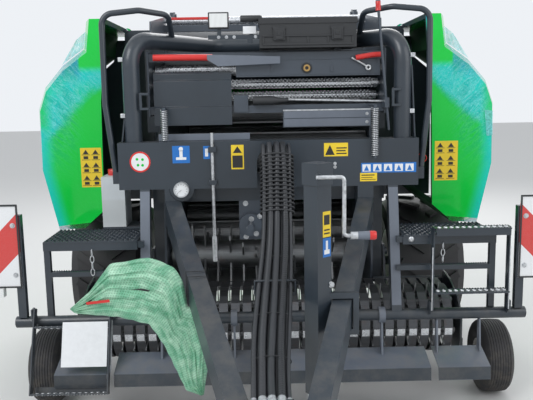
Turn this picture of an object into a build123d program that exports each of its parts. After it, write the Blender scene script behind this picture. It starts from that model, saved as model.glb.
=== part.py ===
from build123d import *
import math
import os

os.makedirs("parts", exist_ok=True)

# Frame: millimetres, +Z up from the ground, +X to the right seen from the hitch, +Y to the rear.

# Clearances and stock
SEAT = 0.3
RUN = 0.08
PLATE = 12.0
SHEET = 6.0

# Bale chamber
CHAMBER_Y = 1050.0
CHAMBER_Z = 1350.0
CHAMBER_HALF = 600.0
BALE_RADIUS = 600.0
ROLLER_RADIUS = 90.0
ROLLER_SHAFT = 22.0
ROLLER_END_GAP = 8.0
ROLLER_RIB = 7.0
ROLLER_RIBS = 8
WALL_MARGIN = 20.0
SPLIT_GAP = 5.0
FRONT_ROLLER_ANGLES = (100, 120, 140, 160, 180, 240, 260)
REAR_ROLLER_ANGLES = (-80, -60, -40, -20, 0, 20, 40, 60, 80)
RING_RADIUS = BALE_RADIUS + ROLLER_RADIUS
WALL_RADIUS = RING_RADIUS + ROLLER_RADIUS + WALL_MARGIN
WALL_OUT = CHAMBER_HALF + PLATE
CHAMBER_FLOOR = CHAMBER_Z - WALL_RADIUS + 10.0
FRONT_EDGE = CHAMBER_Y - SPLIT_GAP
REAR_EDGE = CHAMBER_Y + SPLIT_GAP

# Feed rotor and pickup
ROTOR_Y = 400.0
ROTOR_Z = 690.0
ROTOR_RADIUS = 215.0
ROTOR_CORE = 85.0
ROTOR_SHAFT = 30.0
REEL_Y = 20.0
REEL_Z = 385.0
REEL_HALF = 1040.0
TINE_REACH = 240.0
BAND_RADIUS = 190.0
REEL_CORE = 60.0
TINE_BAR_RADIUS = 120.0
TINE_BARS = 4
TINE_PITCH = 65.0

# Road wheels
AXLE_Y = 1060.0
TYRE_RADIUS = 465.0
TYRE_WIDTH = 500.0
RIM_RADIUS = 226.0
TRACK_HALF = 1060.0
AXLE_BEAM = 90.0
STUB_RADIUS = 32.0
HUB_RADIUS = 75.0
AXLE_Z = TYRE_RADIUS

# Pickup gauge wheels
GAUGE_RADIUS = 200.0
GAUGE_WIDTH = 165.0
GAUGE_X = REEL_HALF + 185.0
GAUGE_Y = -115.0
GAUGE_RIM = 95.0
GAUGE_PIN = 15.0

# Front structure
HEAD_FRONT = -300.0
HEAD_REAR = -190.0
HEAD_HALF = 765.0
HEAD_LOW = 1195.0
HEAD_TOP = 1435.0
POST_X = 635.0
POST = 50.0
DECK_TOP = 955.0
DECK_IN = POST_X + 31.0
DECK_OUT = DECK_IN + 470.0
DECK_REAR = -120.0
DECK_LIP = 45.0
DECK_SHEET = 6.0
TUBE_Y = -420.0
TUBE_Z = 547.0
TUBE_RADIUS = 29.0
TUBE_HALF = DECK_OUT + 154.0

# Drawbar
BEAM_REAR_X = 495.0
BEAM_REAR_Z = 1135.0
BEAM_FRONT_X = 125.0
BEAM_FRONT_Y = -1650.0
BEAM_FRONT_Z = 555.0
BEAM_WIDTH = 80.0
BEAM_HEIGHT = 120.0
EYE_Y = -1875.0
EYE_DROP = 35.0
EYE_BORE = 25.0
EYE_RADIUS = 65.0
EYE_THICK = 40.0

# Parking jack
JACK_X = 182.0
JACK_Y = -1080.0
JACK_SIDE = 78.0
JACK_WALL = 6.0
JACK_LOW = 430.0
JACK_HIGH = 1310.0
JACK_TURN = 40.0
LEG_GAP = 1.0

# Tailgate and its rams
HINGE_Z = CHAMBER_Z + WALL_RADIUS + 40.0
HINGE_PIN = 20.0
RAM_X = 672.0
RAM_BASE_Y = 450.0
RAM_BASE_Z = 1330.0
RAM_EYE_Y = CHAMBER_Y + 250.0
RAM_EYE_Z = HINGE_Z - 350.0
RAM_RADIUS = 32.0
ROD_RADIUS = 17.0
RAM_PIN = 15.0

# Side doors
DOOR_FRONT = 50.0
DOOR_WALL = 25.0
DOOR_PIN_X = 856.0
DOOR_PIN_Z = 2066.0
DOOR_PIN = 10.0


def block(x0, x1, y0, y1, z0, z1):
    return Pos((x0 + x1) / 2, (y0 + y1) / 2, (z0 + z1) / 2) * Box(x1 - x0, y1 - y0, z1 - z0)


def rod(radius, start, end):
    # Round bar between two points.
    run = Vector(*end) - Vector(*start)
    bar = Cylinder(radius, run.length, align=(Align.CENTER, Align.CENTER, Align.MIN))
    return Plane(origin=start, z_dir=run) * bar


def bar_x(radius, x0, x1, y, z):
    return rod(radius, (x0, y, z), (x1, y, z))


def drum(radius, half):
    # Disc about the middle of the bale chamber.
    return bar_x(radius, -half, half, CHAMBER_Y, CHAMBER_Z)


def plate_x(points, x0, x1):
    # Plate cut to (y, z) corners, from x0 to x1.
    return extrude(Plane.YZ.offset(x0) * make_face(Polyline(*points, close=True)), x1 - x0)


def plate_y(points, y0, y1):
    # Plate cut to (x, z) corners, from y0 to y1.
    plane = Plane(origin=(0, y0, 0), x_dir=(1, 0, 0), z_dir=(0, -1, 0))
    return extrude(plane * make_face(Polyline(*points, close=True)), y0 - y1)


def plate_z(points, z0, z1):
    # Plate cut to (x, y) corners, from z0 to z1.
    return extrude(Pos(0, 0, z0) * make_face(Polyline(*points, close=True)), z1 - z0)


def pipe(points, bend, radius):
    # Round tube along straight runs with one bend radius.
    path = FilletPolyline(*points, radius=bend)
    return sweep(Plane(origin=path @ 0, z_dir=path % 0) * Circle(radius), path=path)


def flip(shape):
    return mirror(shape, about=Plane.YZ)


def both(shape):
    return [shape, flip(shape)]


def around(angle, radius=None):
    # Point on the roller ring, angle in degrees up from the rear.
    reach = RING_RADIUS if radius is None else radius
    turn = math.radians(angle)
    return CHAMBER_Y + reach * math.cos(turn), CHAMBER_Z + reach * math.sin(turn)


def save(name, *shapes):
    solids = []
    for shape in shapes:
        for one in shape if isinstance(shape, (list, tuple)) else [shape]:
            solids.extend(one.solids())
    part = solids[0] if len(solids) == 1 else Compound(children=solids)
    part.label = name
    export_step(part, f"parts/{name}.step")


# Chamber rollers: ribbed steel tubes on shafts that run in the side walls
RIB_WIDTH = 14.0
SHAFT_OVER = 22.0


def roller(angle):
    y, z = around(angle)
    half = CHAMBER_HALF - ROLLER_END_GAP
    core = ROLLER_RADIUS - ROLLER_RIB
    body = bar_x(core, -half, half, y, z)
    rib = Pos(0, core, 0) * Box(2 * half, 2 * ROLLER_RIB, RIB_WIDTH)
    for k in range(ROLLER_RIBS):
        body = body + Pos(0, y, z) * Rot(360.0 * k / ROLLER_RIBS, 0, 0) * rib
    return body + bar_x(ROLLER_SHAFT, -WALL_OUT - SHAFT_OVER, WALL_OUT + SHAFT_OVER, y, z)


def shaft_holes(angles):
    holes = []
    for angle in angles:
        y, z = around(angle)
        holes.append(bar_x(ROLLER_SHAFT + RUN, -WALL_OUT - 60.0, WALL_OUT + 60.0, y, z))
    return holes


# Drive chain on the left: one fixed loop round the sprockets of three front rollers
CHAIN_ANGLES = (120, 140, 160)
SPROCKET = 55.0
CHAIN_THICK = 9.0
CHAIN_WIDTH = 12.0
CHAIN_OUT = WALL_OUT + SHAFT_OVER


def loop_round(radius):
    edges = []
    for angle in CHAIN_ANGLES:
        edges.extend((Pos(*around(angle)) * Circle(radius)).edges())
    return make_hull(edges)


chain_face = loop_round(SPROCKET + CHAIN_THICK) - loop_round(SPROCKET - 1.0)
drive = [extrude(Plane.YZ.offset(-CHAIN_OUT) * chain_face, CHAIN_WIDTH)]
plain_rollers = []
for angle in FRONT_ROLLER_ANGLES:
    if angle in CHAIN_ANGLES:
        drive.append(roller(angle) + bar_x(SPROCKET, -CHAIN_OUT, -CHAIN_OUT + CHAIN_WIDTH, *around(angle)))
    else:
        plain_rollers.append(roller(angle))
chained_rollers = drive[0] + drive[1:]
save("front_rollers", plain_rollers, chained_rollers)
save("tailgate_rollers", [roller(angle) for angle in REAR_ROLLER_ANGLES])

# Chamber side walls, front half, with the feed channel that reaches forward over the rotor
ROTOR_SIDE = ROTOR_RADIUS + 15.0
WALL_BOTTOM = CHAMBER_Z - WALL_RADIUS
WALL_TOP = CHAMBER_Z + WALL_RADIUS
WALL_FRONT = CHAMBER_Y - WALL_RADIUS
disc = drum(WALL_RADIUS, WALL_OUT)
rotor_disc = bar_x(ROTOR_SIDE, -WALL_OUT, WALL_OUT, ROTOR_Y, ROTOR_Z)
front_half = block(-WALL_OUT, WALL_OUT, WALL_FRONT, FRONT_EDGE, CHAMBER_FLOOR, WALL_TOP)
channel = plate_x(
    [
        (ROTOR_Y - ROTOR_SIDE, ROTOR_Z),
        (WALL_FRONT, CHAMBER_Z),
        (CHAMBER_Y - 300.0, CHAMBER_Z),
        (ROTOR_Y + 320.0, CHAMBER_FLOOR + 20.0),
        (ROTOR_Y, ROTOR_Z - ROTOR_SIDE),
        (ROTOR_Y, ROTOR_Z),
    ],
    -WALL_OUT,
    WALL_OUT,
)
wall_form = (disc & front_half) + channel + rotor_disc
wall_slab = block(CHAMBER_HALF, WALL_OUT, ROTOR_Y - ROTOR_SIDE, FRONT_EDGE, ROTOR_Z - ROTOR_SIDE, HINGE_Z)
front_wall = wall_form & wall_slab
EAR_RADIUS = HINGE_Z - WALL_TOP - 6.0
hinge_ear = plate_x(
    [
        (CHAMBER_Y - 150.0, WALL_TOP - 30.0),
        (FRONT_EDGE, WALL_TOP - 30.0),
        (FRONT_EDGE, HINGE_Z + EAR_RADIUS - 1.0),
        (CHAMBER_Y - EAR_RADIUS, HINGE_Z + EAR_RADIUS / 2),
    ],
    CHAMBER_HALF,
    WALL_OUT,
)
front_wall = front_wall + hinge_ear + bar_x(EAR_RADIUS, CHAMBER_HALF, WALL_OUT, CHAMBER_Y, HINGE_Z)
for hole in shaft_holes(FRONT_ROLLER_ANGLES):
    front_wall = front_wall - hole
front_wall = front_wall - bar_x(ROTOR_SHAFT + RUN, 0, WALL_OUT + 50.0, ROTOR_Y, ROTOR_Z)
front_wall = front_wall - bar_x(HINGE_PIN + RUN, 0, WALL_OUT + 50.0, CHAMBER_Y, HINGE_Z)
RAM_BOSS = RAM_PIN + 18.0
RAM_BOSS_END = RAM_X - RAM_RADIUS - SEAT
RAM_HEAD_END = RAM_X + RAM_RADIUS + 4.0
ram_stub = bar_x(RAM_PIN, WALL_OUT, RAM_HEAD_END, RAM_BASE_Y, RAM_BASE_Z)
ram_boss = bar_x(RAM_BOSS, WALL_OUT, RAM_BOSS_END, RAM_BASE_Y, RAM_BASE_Z)
save("chamber_walls", both(front_wall + ram_stub + ram_boss))

# Cover plate over the front rollers, bent between the walls
COVER_IN = RING_RADIUS + ROLLER_RADIUS + 4.0
COVER_SKIN = COVER_IN + SHEET
FAR = 1.5 * WALL_RADIUS
ring = drum(COVER_SKIN, CHAMBER_HALF - SEAT) - drum(COVER_IN, CHAMBER_HALF + 1.0)
cover_zone = plate_x(
    [
        (CHAMBER_Y, CHAMBER_Z),
        around(150, FAR),
        around(120, 1.25 * FAR),
        (FRONT_EDGE, CHAMBER_Z + FAR),
        (FRONT_EDGE, CHAMBER_Z),
    ],
    -CHAMBER_HALF,
    CHAMBER_HALF,
)
save("chamber_cover", ring & cover_zone)

# Tailgate: walls, hinge straps and pins, and the bosses that the rams push
rear_slab = block(CHAMBER_HALF, WALL_OUT, REAR_EDGE, CHAMBER_Y + WALL_RADIUS, CHAMBER_FLOOR, WALL_TOP)
rear_wall = disc & rear_slab
for hole in shaft_holes(REAR_ROLLER_ANGLES):
    rear_wall = rear_wall - hole
STRAP_IN = WALL_OUT + SEAT
STRAP_OUT = STRAP_IN + 20.0
strap_outline = [
    (CHAMBER_Y - 32.0, HINGE_Z - 32.0),
    (CHAMBER_Y - 32.0, HINGE_Z + 28.0),
    (CHAMBER_Y + 40.0, HINGE_Z + 28.0),
    (CHAMBER_Y + 330.0, WALL_TOP - 100.0),
    (CHAMBER_Y + 330.0, WALL_TOP - 200.0),
    (CHAMBER_Y + 60.0, WALL_TOP - 90.0),
]
pad_outline = [
    (CHAMBER_Y + 70.0, WALL_TOP - 20.0),
    (CHAMBER_Y + 260.0, WALL_TOP - 110.0),
    (CHAMBER_Y + 260.0, WALL_TOP - 150.0),
    (CHAMBER_Y + 70.0, WALL_TOP - 80.0),
]
gate_strap = plate_x(strap_outline, STRAP_IN, STRAP_OUT) + plate_x(pad_outline, WALL_OUT - 2.0, STRAP_IN)
gate_pin = bar_x(HINGE_PIN, CHAMBER_HALF - 10.0, STRAP_OUT + 8.0, CHAMBER_Y, HINGE_Z)
gate_ram_boss = bar_x(RAM_BOSS, WALL_OUT - 1.0, RAM_BOSS_END, RAM_EYE_Y, RAM_EYE_Z)
rear_side = rear_wall + gate_strap + gate_pin + gate_ram_boss
for hole in shaft_holes((80, 60)):
    rear_side = rear_side - hole
save("tailgate_walls", both(rear_side))

# Rear wrap: the bent sheet behind the tailgate rollers, with square ribs across it
wrap_ring = drum(COVER_SKIN, CHAMBER_HALF) - drum(COVER_IN, CHAMBER_HALF + 1.0)
wrap_zone = plate_x(
    [
        (CHAMBER_Y + 40.0, CHAMBER_Z + FAR),
        (CHAMBER_Y + 40.0, CHAMBER_Z + RING_RADIUS),
        (CHAMBER_Y, CHAMBER_Z),
        (CHAMBER_Y + 20.0, CHAMBER_Z - RING_RADIUS),
        (CHAMBER_Y + 300.0, CHAMBER_Z - FAR),
        (CHAMBER_Y + FAR, CHAMBER_Z - FAR),
        (CHAMBER_Y + FAR, CHAMBER_Z + FAR),
    ],
    -CHAMBER_HALF,
    CHAMBER_HALF,
)
WRAP_RIB = 30.0
wrap = wrap_ring & wrap_zone
for angle in (-50, -10, 30, 65):
    y, z = around(angle, COVER_SKIN + WRAP_RIB - 2.0)
    rib = block(-CHAMBER_HALF, CHAMBER_HALF, y - WRAP_RIB, y + WRAP_RIB, z - WRAP_RIB, z + WRAP_RIB)
    wrap = wrap + (rib - drum(COVER_IN + 2.0, CHAMBER_HALF + 1.0))
save("tailgate_wrap", wrap)

# Tailgate side covers: shallow shells over the roller ends, open to the front
COVER_OUT = 755.0
COVER_RIM = WALL_RADIUS - 24.0
COVER_WALL = 20.0
cover_form = drum(COVER_RIM, COVER_OUT) - drum(COVER_RIM - COVER_WALL, COVER_OUT - COVER_WALL)
cover_slab = block(WALL_OUT, COVER_OUT, CHAMBER_Y + 90.0, CHAMBER_Y + WALL_RADIUS, WALL_BOTTOM, WALL_TOP)
strap_room = plate_x(strap_outline, WALL_OUT - 1.0, STRAP_OUT + SEAT)
save("tailgate_covers", both((cover_form & cover_slab) - strap_room))

# Rear lamps on a bar behind the tailgate
LAMP_X = 500.0
LAMP_HALF = 110.0
LAMP_Z = CHAMBER_Z - 310.0
LAMP_DEEP = 40.0
BAR_SIDE = 15.0
bar_y = CHAMBER_Y + COVER_SKIN + 45.0
lamps = []
lamp_bar = block(
    -LAMP_X - 60.0, LAMP_X + 60.0, bar_y - BAR_SIDE, bar_y + BAR_SIDE, LAMP_Z - 20.0, LAMP_Z + 20.0
)
for x in (-LAMP_X, LAMP_X):
    arm_y = (bar_y - 105.0, bar_y - BAR_SIDE + 1.0)
    arm = block(x - 20.0, x + 20.0, *arm_y, LAMP_Z - BAR_SIDE, LAMP_Z + BAR_SIDE)
    lamp_bar = lamp_bar + (arm - drum(COVER_SKIN, CHAMBER_HALF))
    lamp_y = bar_y + BAR_SIDE
    lens_x = (x - LAMP_HALF, x + LAMP_HALF)
    lamps.append(block(*lens_x, lamp_y, lamp_y + LAMP_DEEP, LAMP_Z - 45.0, LAMP_Z + 45.0))
save("lamp_bar", lamp_bar)
save("rear_lamps", lamps)

# Rams that open the tailgate
ram_base = (RAM_X, RAM_BASE_Y, RAM_BASE_Z)
ram_eye = (RAM_X, RAM_EYE_Y, RAM_EYE_Z)
ram_run = Vector(*ram_eye) - Vector(*ram_base)
ram_line = ram_run.normalized()
ram_length = ram_run.length


def on_ram(distance):
    return tuple(Vector(*ram_base) + ram_line * distance)


RAM_BODY = ram_length - 190.0
RAM_EYE = RAM_PIN + 13.0
barrel = rod(RAM_RADIUS, on_ram(18.0), on_ram(RAM_BODY))
barrel = barrel + bar_x(RAM_PIN + 12.0, RAM_X - RAM_RADIUS, RAM_X + RAM_RADIUS, RAM_BASE_Y, RAM_BASE_Z)
barrel = barrel - rod(ROD_RADIUS + RUN, on_ram(60.0), on_ram(RAM_BODY + 5.0))
barrel = barrel - bar_x(RAM_PIN + RUN, RAM_X - 60.0, RAM_X + 60.0, RAM_BASE_Y, RAM_BASE_Z)
ram_rod = rod(ROD_RADIUS, on_ram(70.0), on_ram(ram_length - 15.0))
ram_rod = ram_rod + bar_x(RAM_EYE, RAM_X - RAM_RADIUS + 5.0, RAM_X + RAM_RADIUS, RAM_EYE_Y, RAM_EYE_Z)
ram_rod = ram_rod + bar_x(RAM_PIN, RAM_X, RAM_HEAD_END, RAM_EYE_Y, RAM_EYE_Z)
save("ram_barrel_right", barrel)
save("ram_barrel_left", flip(barrel))
save("ram_rod_right", ram_rod)
save("ram_rod_left", flip(ram_rod))

# Chassis: side rails on the walls, stepped down to the axle
RAIL_OUT = WALL_OUT + 80.0
RAIL_LOW = AXLE_Z + AXLE_BEAM / 2
RAIL_HIGH = RAIL_LOW + 90.0
SILL_LOW = HEAD_LOW + 5.0
SILL_HIGH = HEAD_LOW + 110.0
COLUMN = 65.0
TRUNNION = 24.0
rail = block(WALL_OUT, RAIL_OUT, HEAD_REAR, ROTOR_Y - COLUMN + 50.0, SILL_LOW, SILL_HIGH)
rail = rail + block(WALL_OUT, RAIL_OUT, ROTOR_Y - COLUMN, ROTOR_Y + COLUMN, RAIL_LOW, HEAD_LOW + 60.0)
rail = rail + block(WALL_OUT, RAIL_OUT, ROTOR_Y - COLUMN, AXLE_Y + AXLE_BEAM / 2, RAIL_LOW, RAIL_HIGH)
rail = rail - bar_x(ROTOR_SHAFT + 25.0, WALL_OUT - 1.0, WALL_OUT + 40.0, ROTOR_Y, ROTOR_Z)
rail = rail + bar_x(TRUNNION, RAIL_OUT - 2.0, RAIL_OUT + 42.0, ROTOR_Y, ROTOR_Z)
save("chassis_rails", both(rail))

# Axle beam with stub shafts
AXLE_HALF = 700.0
beam_half = AXLE_BEAM / 2
axle = block(
    -AXLE_HALF, AXLE_HALF, AXLE_Y - beam_half, AXLE_Y + beam_half, AXLE_Z - beam_half, AXLE_Z + beam_half
)
stub = bar_x(STUB_RADIUS, AXLE_HALF - 1.0, TRACK_HALF + 110.0, AXLE_Y, AXLE_Z)
save("axle", axle + stub + flip(stub))

# Main wheels: tyre with slanted lugs, rim with a holed disc
LUG_HEIGHT = 18.0
SIDEWALL = TYRE_RADIUS - 55.0
CROWN = TYRE_RADIUS - LUG_HEIGHT
WIDE = TYRE_WIDTH / 2
tyre_face = make_face(
    Polyline(
        (-WIDE + 45.0, RIM_RADIUS),
        (-WIDE, RIM_RADIUS + 110.0),
        (-WIDE + 12.0, SIDEWALL),
        (-WIDE + 60.0, CROWN - 4.0),
        (0, CROWN),
        (WIDE - 60.0, CROWN - 4.0),
        (WIDE - 12.0, SIDEWALL),
        (WIDE, RIM_RADIUS + 110.0),
        (WIDE - 45.0, RIM_RADIUS),
        close=True,
    )
)
tyre = revolve(tyre_face, axis=Axis.X)


def around_axle(shape, x):
    return Pos(x, AXLE_Y, AXLE_Z) * shape

def ring_x(outer, inner, x0, x1):
    # Ring about the X axis.
    wall = Cylinder(outer, x1 - x0) - Cylinder(inner, x1 - x0 + 2.0)
    return Pos((x0 + x1) / 2, 0, 0) * Rot(0, 90, 0) * wall


TREAD_LUGS = 16
LUG_X = 105.0
LUG_SLANT = 35.0
lug = Box(200.0, 44.0, 2 * LUG_HEIGHT + 14.0)
tread_limit = Rot(0, 90, 0) * Cylinder(TYRE_RADIUS, TYRE_WIDTH)
lugs = []
for k in range(TREAD_LUGS):
    for side in (-1, 1):
        turn = 360.0 * (k + 0.25 * side) / TREAD_LUGS
        place = Rot(turn, 0, 0) * Pos(side * LUG_X, 0, CROWN) * Rot(0, 0, side * LUG_SLANT)
        lugs.append(place * lug & tread_limit)
tread = tyre + lugs

RIM_WALL = 12.0
HAND_HOLES = 6
rim = ring_x(RIM_RADIUS - SEAT, RIM_RADIUS - RIM_WALL, -WIDE + 50.0, WIDE - 50.0)
rim = rim + ring_x(RIM_RADIUS - RIM_WALL + 1.0, HUB_RADIUS - 2.0, 30.0, 30.0 + RIM_WALL)
rim = rim + ring_x(HUB_RADIUS, STUB_RADIUS + RUN, -60.0, 112.0)
hand_hole = Pos(36.0, 0, (RIM_RADIUS + HUB_RADIUS) / 2) * Rot(0, 90, 0) * Cylinder(24.0, 30.0)
rim = rim - [Rot(360.0 * k / HAND_HOLES, 0, 0) * hand_hole for k in range(HAND_HOLES)]
save("tyre_right", around_axle(tread, TRACK_HALF))
save("tyre_left", flip(around_axle(tread, TRACK_HALF)))
save("rim_right", around_axle(rim, TRACK_HALF))
save("rim_left", flip(around_axle(rim, TRACK_HALF)))

# Feed rotor with its fingers
FINGER_ROWS = 15
FINGER_ARMS = 4
FINGER_TWIST = 12.0
FINGER_EDGE = CHAMBER_HALF - 60.0
FINGER_OUTLINE = (
    (0.8 * ROTOR_CORE, -0.5),
    (ROTOR_RADIUS, 0.0),
    (0.95 * ROTOR_RADIUS, 0.12),
    (0.8 * ROTOR_CORE, 0.6),
)
rotor = bar_x(ROTOR_CORE, -CHAMBER_HALF + 12.0, CHAMBER_HALF - 12.0, ROTOR_Y, ROTOR_Z)
rotor = rotor + bar_x(ROTOR_SHAFT, -WALL_OUT - 16.0, WALL_OUT + 16.0, ROTOR_Y, ROTOR_Z)
fingers = []
for k in range(FINGER_ROWS):
    x = -FINGER_EDGE + 2 * FINGER_EDGE * k / (FINGER_ROWS - 1)
    for arm in range(FINGER_ARMS):
        turn = math.radians(360.0 * arm / FINGER_ARMS + FINGER_TWIST * k)
        corners = []
        for reach, swing in FINGER_OUTLINE:
            at = turn + swing
            corners.append((ROTOR_Y + reach * math.cos(at), ROTOR_Z + reach * math.sin(at)))
        fingers.append(plate_x(corners, x - 5.0, x + 5.0))
save("feed_rotor", rotor + fingers)

# Feed floor: bent sheet under the rotor, between the walls
FLOOR_IN = ROTOR_RADIUS + 6.0
floor_ring = bar_x(FLOOR_IN + SHEET, -CHAMBER_HALF, CHAMBER_HALF, ROTOR_Y, ROTOR_Z)
floor_ring = floor_ring - bar_x(FLOOR_IN, -CHAMBER_HALF - 1.0, CHAMBER_HALF + 1.0, ROTOR_Y, ROTOR_Z)
floor_zone = plate_x(
    [
        (ROTOR_Y, ROTOR_Z),
        (ROTOR_Y - 230.0, ROTOR_Z - 260.0),
        (ROTOR_Y, ROTOR_Z - 300.0),
        (ROTOR_Y + 230.0, ROTOR_Z - 180.0),
    ],
    -CHAMBER_HALF,
    CHAMBER_HALF,
)
save("feed_floor", floor_ring & floor_zone)

# Pickup frame: arms that swing on the rotor's line, a back beam and end plates
ARM_IN = RAIL_OUT + 8.0
ARM_OUT = ARM_IN + 14.0
BACK_Y = REEL_Y + TINE_REACH + 15.0
BACK_Z = REEL_Z - 80.0
BACK_SIDE = 60.0
END_IN = REEL_HALF
END_OUT = REEL_HALF + 10.0
arm = plate_x(
    [
        (ROTOR_Y - 45.0, ROTOR_Z + 50.0),
        (ROTOR_Y + 45.0, ROTOR_Z + 50.0),
        (ROTOR_Y + 50.0, ROTOR_Z - 45.0),
        (BACK_Y + BACK_SIDE, BACK_Z),
        (BACK_Y, BACK_Z),
        (BACK_Y, BACK_Z + 110.0),
    ],
    ARM_IN,
    ARM_OUT,
) - bar_x(TRUNNION + RUN, RAIL_OUT, ARM_OUT + 40.0, ROTOR_Y, ROTOR_Z)
end_plate = plate_x(
    [
        (REEL_Y - BAND_RADIUS, REEL_Z - 60.0),
        (REEL_Y - BAND_RADIUS + 25.0, REEL_Z - 140.0),
        (REEL_Y + 60.0, REEL_Z - BAND_RADIUS),
        (REEL_Y + 200.0, REEL_Z - 150.0),
        (BACK_Y + BACK_SIDE, BACK_Z),
        (BACK_Y + BACK_SIDE, BACK_Z + 120.0),
        (REEL_Y + 200.0, REEL_Z + 220.0),
        (REEL_Y + 60.0, REEL_Z + BAND_RADIUS + 15.0),
        (REEL_Y - 110.0, REEL_Z + 150.0),
        (REEL_Y - BAND_RADIUS, REEL_Z + 60.0),
    ],
    END_IN,
    END_OUT,
)
REEL_SHAFT = 22.0
end_plate = end_plate - bar_x(REEL_SHAFT + RUN, END_IN - 5.0, END_OUT + 5.0, REEL_Y, REEL_Z)
gauge_pin = bar_x(GAUGE_PIN, END_OUT - 2.0, GAUGE_X + GAUGE_WIDTH / 2 + 12.0, GAUGE_Y, GAUGE_RADIUS)
gauge_arm = plate_x(
    [
        (GAUGE_Y - 30.0, GAUGE_RADIUS - 30.0),
        (GAUGE_Y + 60.0, GAUGE_RADIUS - 30.0),
        (GAUGE_Y + 120.0, GAUGE_RADIUS + 60.0),
        (GAUGE_Y + 120.0, GAUGE_RADIUS + 110.0),
        (GAUGE_Y - 30.0, GAUGE_RADIUS + 110.0),
    ],
    END_OUT - 1.0,
    END_OUT + 12.0,
)
back_beam = block(-END_IN - 2.0, END_IN + 2.0, BACK_Y, BACK_Y + BACK_SIDE, BACK_Z, BACK_Z + BACK_SIDE)
RAIL_Y = REEL_Y + 192.0
RAIL_Z = REEL_Z + 185.0
side_rail = bar_x(6.0, WALL_OUT + 12.0, END_IN + 2.0, RAIL_Y, RAIL_Z)
side_sheet = plate_x(
    [
        (BACK_Y + 20.0, BACK_Z + 20.0),
        (BACK_Y + 25.0, BACK_Z + 20.0),
        (BACK_Y + 12.0, REEL_Z + 60.0),
        (RAIL_Y + 5.0, RAIL_Z),
        (RAIL_Y, RAIL_Z),
        (BACK_Y + 7.0, REEL_Z + 60.0),
    ],
    ARM_OUT + 10.0,
    END_IN + 2.0,
)
side_parts = arm + end_plate + gauge_pin + gauge_arm + side_sheet + side_rail
save("pickup_frame", back_beam + side_parts + flip(side_parts))

# Stripper bands round the front of the reel, between the tine rows, joined by a rail behind
BAND_WIDTH = 48.0
BAND_THICK = 4.0
BAND_STEPS = 14
BAND_COUNT = int(2 * (REEL_HALF - TINE_PITCH / 2) / TINE_PITCH) // 2
TAIL_Y = 70.0
TAIL_END = 180.0
RAIL_DEEP = 12.0
tail_angle = math.acos(TAIL_Y / BAND_RADIUS)
low_end = (BACK_Y - REEL_Y + 20.0, BACK_Z - REEL_Z)


def band_arc(radius):
    # Corners of a many-sided arc from the top tail round the front to the low tail.
    corners = []
    for k in range(BAND_STEPS + 1):
        at = tail_angle + (2 * math.pi - 2 * tail_angle) * k / BAND_STEPS
        corners.append((radius * math.cos(at), radius * math.sin(at)))
    return corners


inner_arc = band_arc(BAND_RADIUS - BAND_THICK)
band_top = inner_arc[0][1] + 2 * BAND_THICK
band_outline = [(TAIL_END, band_top + BAND_THICK)]
band_outline = band_outline + band_arc(BAND_RADIUS)
band_outline = band_outline + [(low_end[0], low_end[1] - BAND_THICK), low_end]
band_outline = band_outline + inner_arc[::-1]
band_outline = band_outline + [(TAIL_END, band_top)]
band_face = Pos(REEL_Y, REEL_Z) * make_face(Polyline(*band_outline, close=True))
bands = []
for k in range(-BAND_COUNT, BAND_COUNT + 1):
    bands.append(extrude(Plane.YZ.offset(k * TINE_PITCH - BAND_WIDTH / 2) * band_face, BAND_WIDTH))
rail_y = REEL_Y + TAIL_END
rail_z = REEL_Z + band_top
band_rail = block(-END_IN, END_IN, rail_y - RAIL_DEEP, rail_y, rail_z, rail_z + BAND_THICK)
save("stripper_bands", band_rail + bands)

# Pickup reel: shaft, spiders, tine bars and tines
TINE_SIDE = 6.0
TINE_BAR = 16.0
reel = bar_x(REEL_SHAFT, -END_OUT - 8.0, END_OUT + 8.0, REEL_Y, REEL_Z)
reel = reel + bar_x(REEL_CORE, -END_IN + 12.0, END_IN - 12.0, REEL_Y, REEL_Z)
tine_z = (TINE_BAR_RADIUS + TINE_REACH) / 2
reel_parts = []
for bar in range(TINE_BARS):
    place = Pos(0, REEL_Y, REEL_Z) * Rot(360.0 * bar / TINE_BARS + 20.0, 0, 0)
    tine_bar = Pos(0, 0, TINE_BAR_RADIUS) * Rot(0, 90, 0) * Cylinder(TINE_BAR, 2 * END_IN - 24.0)
    reel_parts.append(place * tine_bar)
    for x in (-END_IN + 20.0, -END_IN / 3, END_IN / 3, END_IN - 20.0):
        reel_parts.append(place * Pos(x, 0, TINE_BAR_RADIUS / 2 + 10.0) * Box(8.0, 46.0, TINE_BAR_RADIUS))
    for k in range(-BAND_COUNT, BAND_COUNT):
        tine = Box(TINE_SIDE, TINE_SIDE, TINE_REACH - TINE_BAR_RADIUS)
        reel_parts.append(place * Pos((k + 0.5) * TINE_PITCH, 0, tine_z) * tine)
save("pickup_reel", reel + reel_parts)

# Pickup gauge wheels
gauge_tyre_face = make_face(
    Polyline(
        (-GAUGE_WIDTH / 2 + 12.0, GAUGE_RIM),
        (-GAUGE_WIDTH / 2, GAUGE_RIM + 40.0),
        (-GAUGE_WIDTH / 2 + 8.0, GAUGE_RADIUS - 28.0),
        (-GAUGE_WIDTH / 2 + 34.0, GAUGE_RADIUS - 5.0),
        (0, GAUGE_RADIUS),
        (GAUGE_WIDTH / 2 - 34.0, GAUGE_RADIUS - 5.0),
        (GAUGE_WIDTH / 2 - 8.0, GAUGE_RADIUS - 28.0),
        (GAUGE_WIDTH / 2, GAUGE_RIM + 40.0),
        (GAUGE_WIDTH / 2 - 12.0, GAUGE_RIM),
        close=True,
    )
)
gauge_tyre = Pos(GAUGE_X, GAUGE_Y, GAUGE_RADIUS) * revolve(gauge_tyre_face, axis=Axis.X)
gauge_rim = ring_x(GAUGE_RIM - SEAT, GAUGE_RIM - 8.0, -GAUGE_WIDTH / 2 + 14.0, GAUGE_WIDTH / 2 - 14.0)
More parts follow.
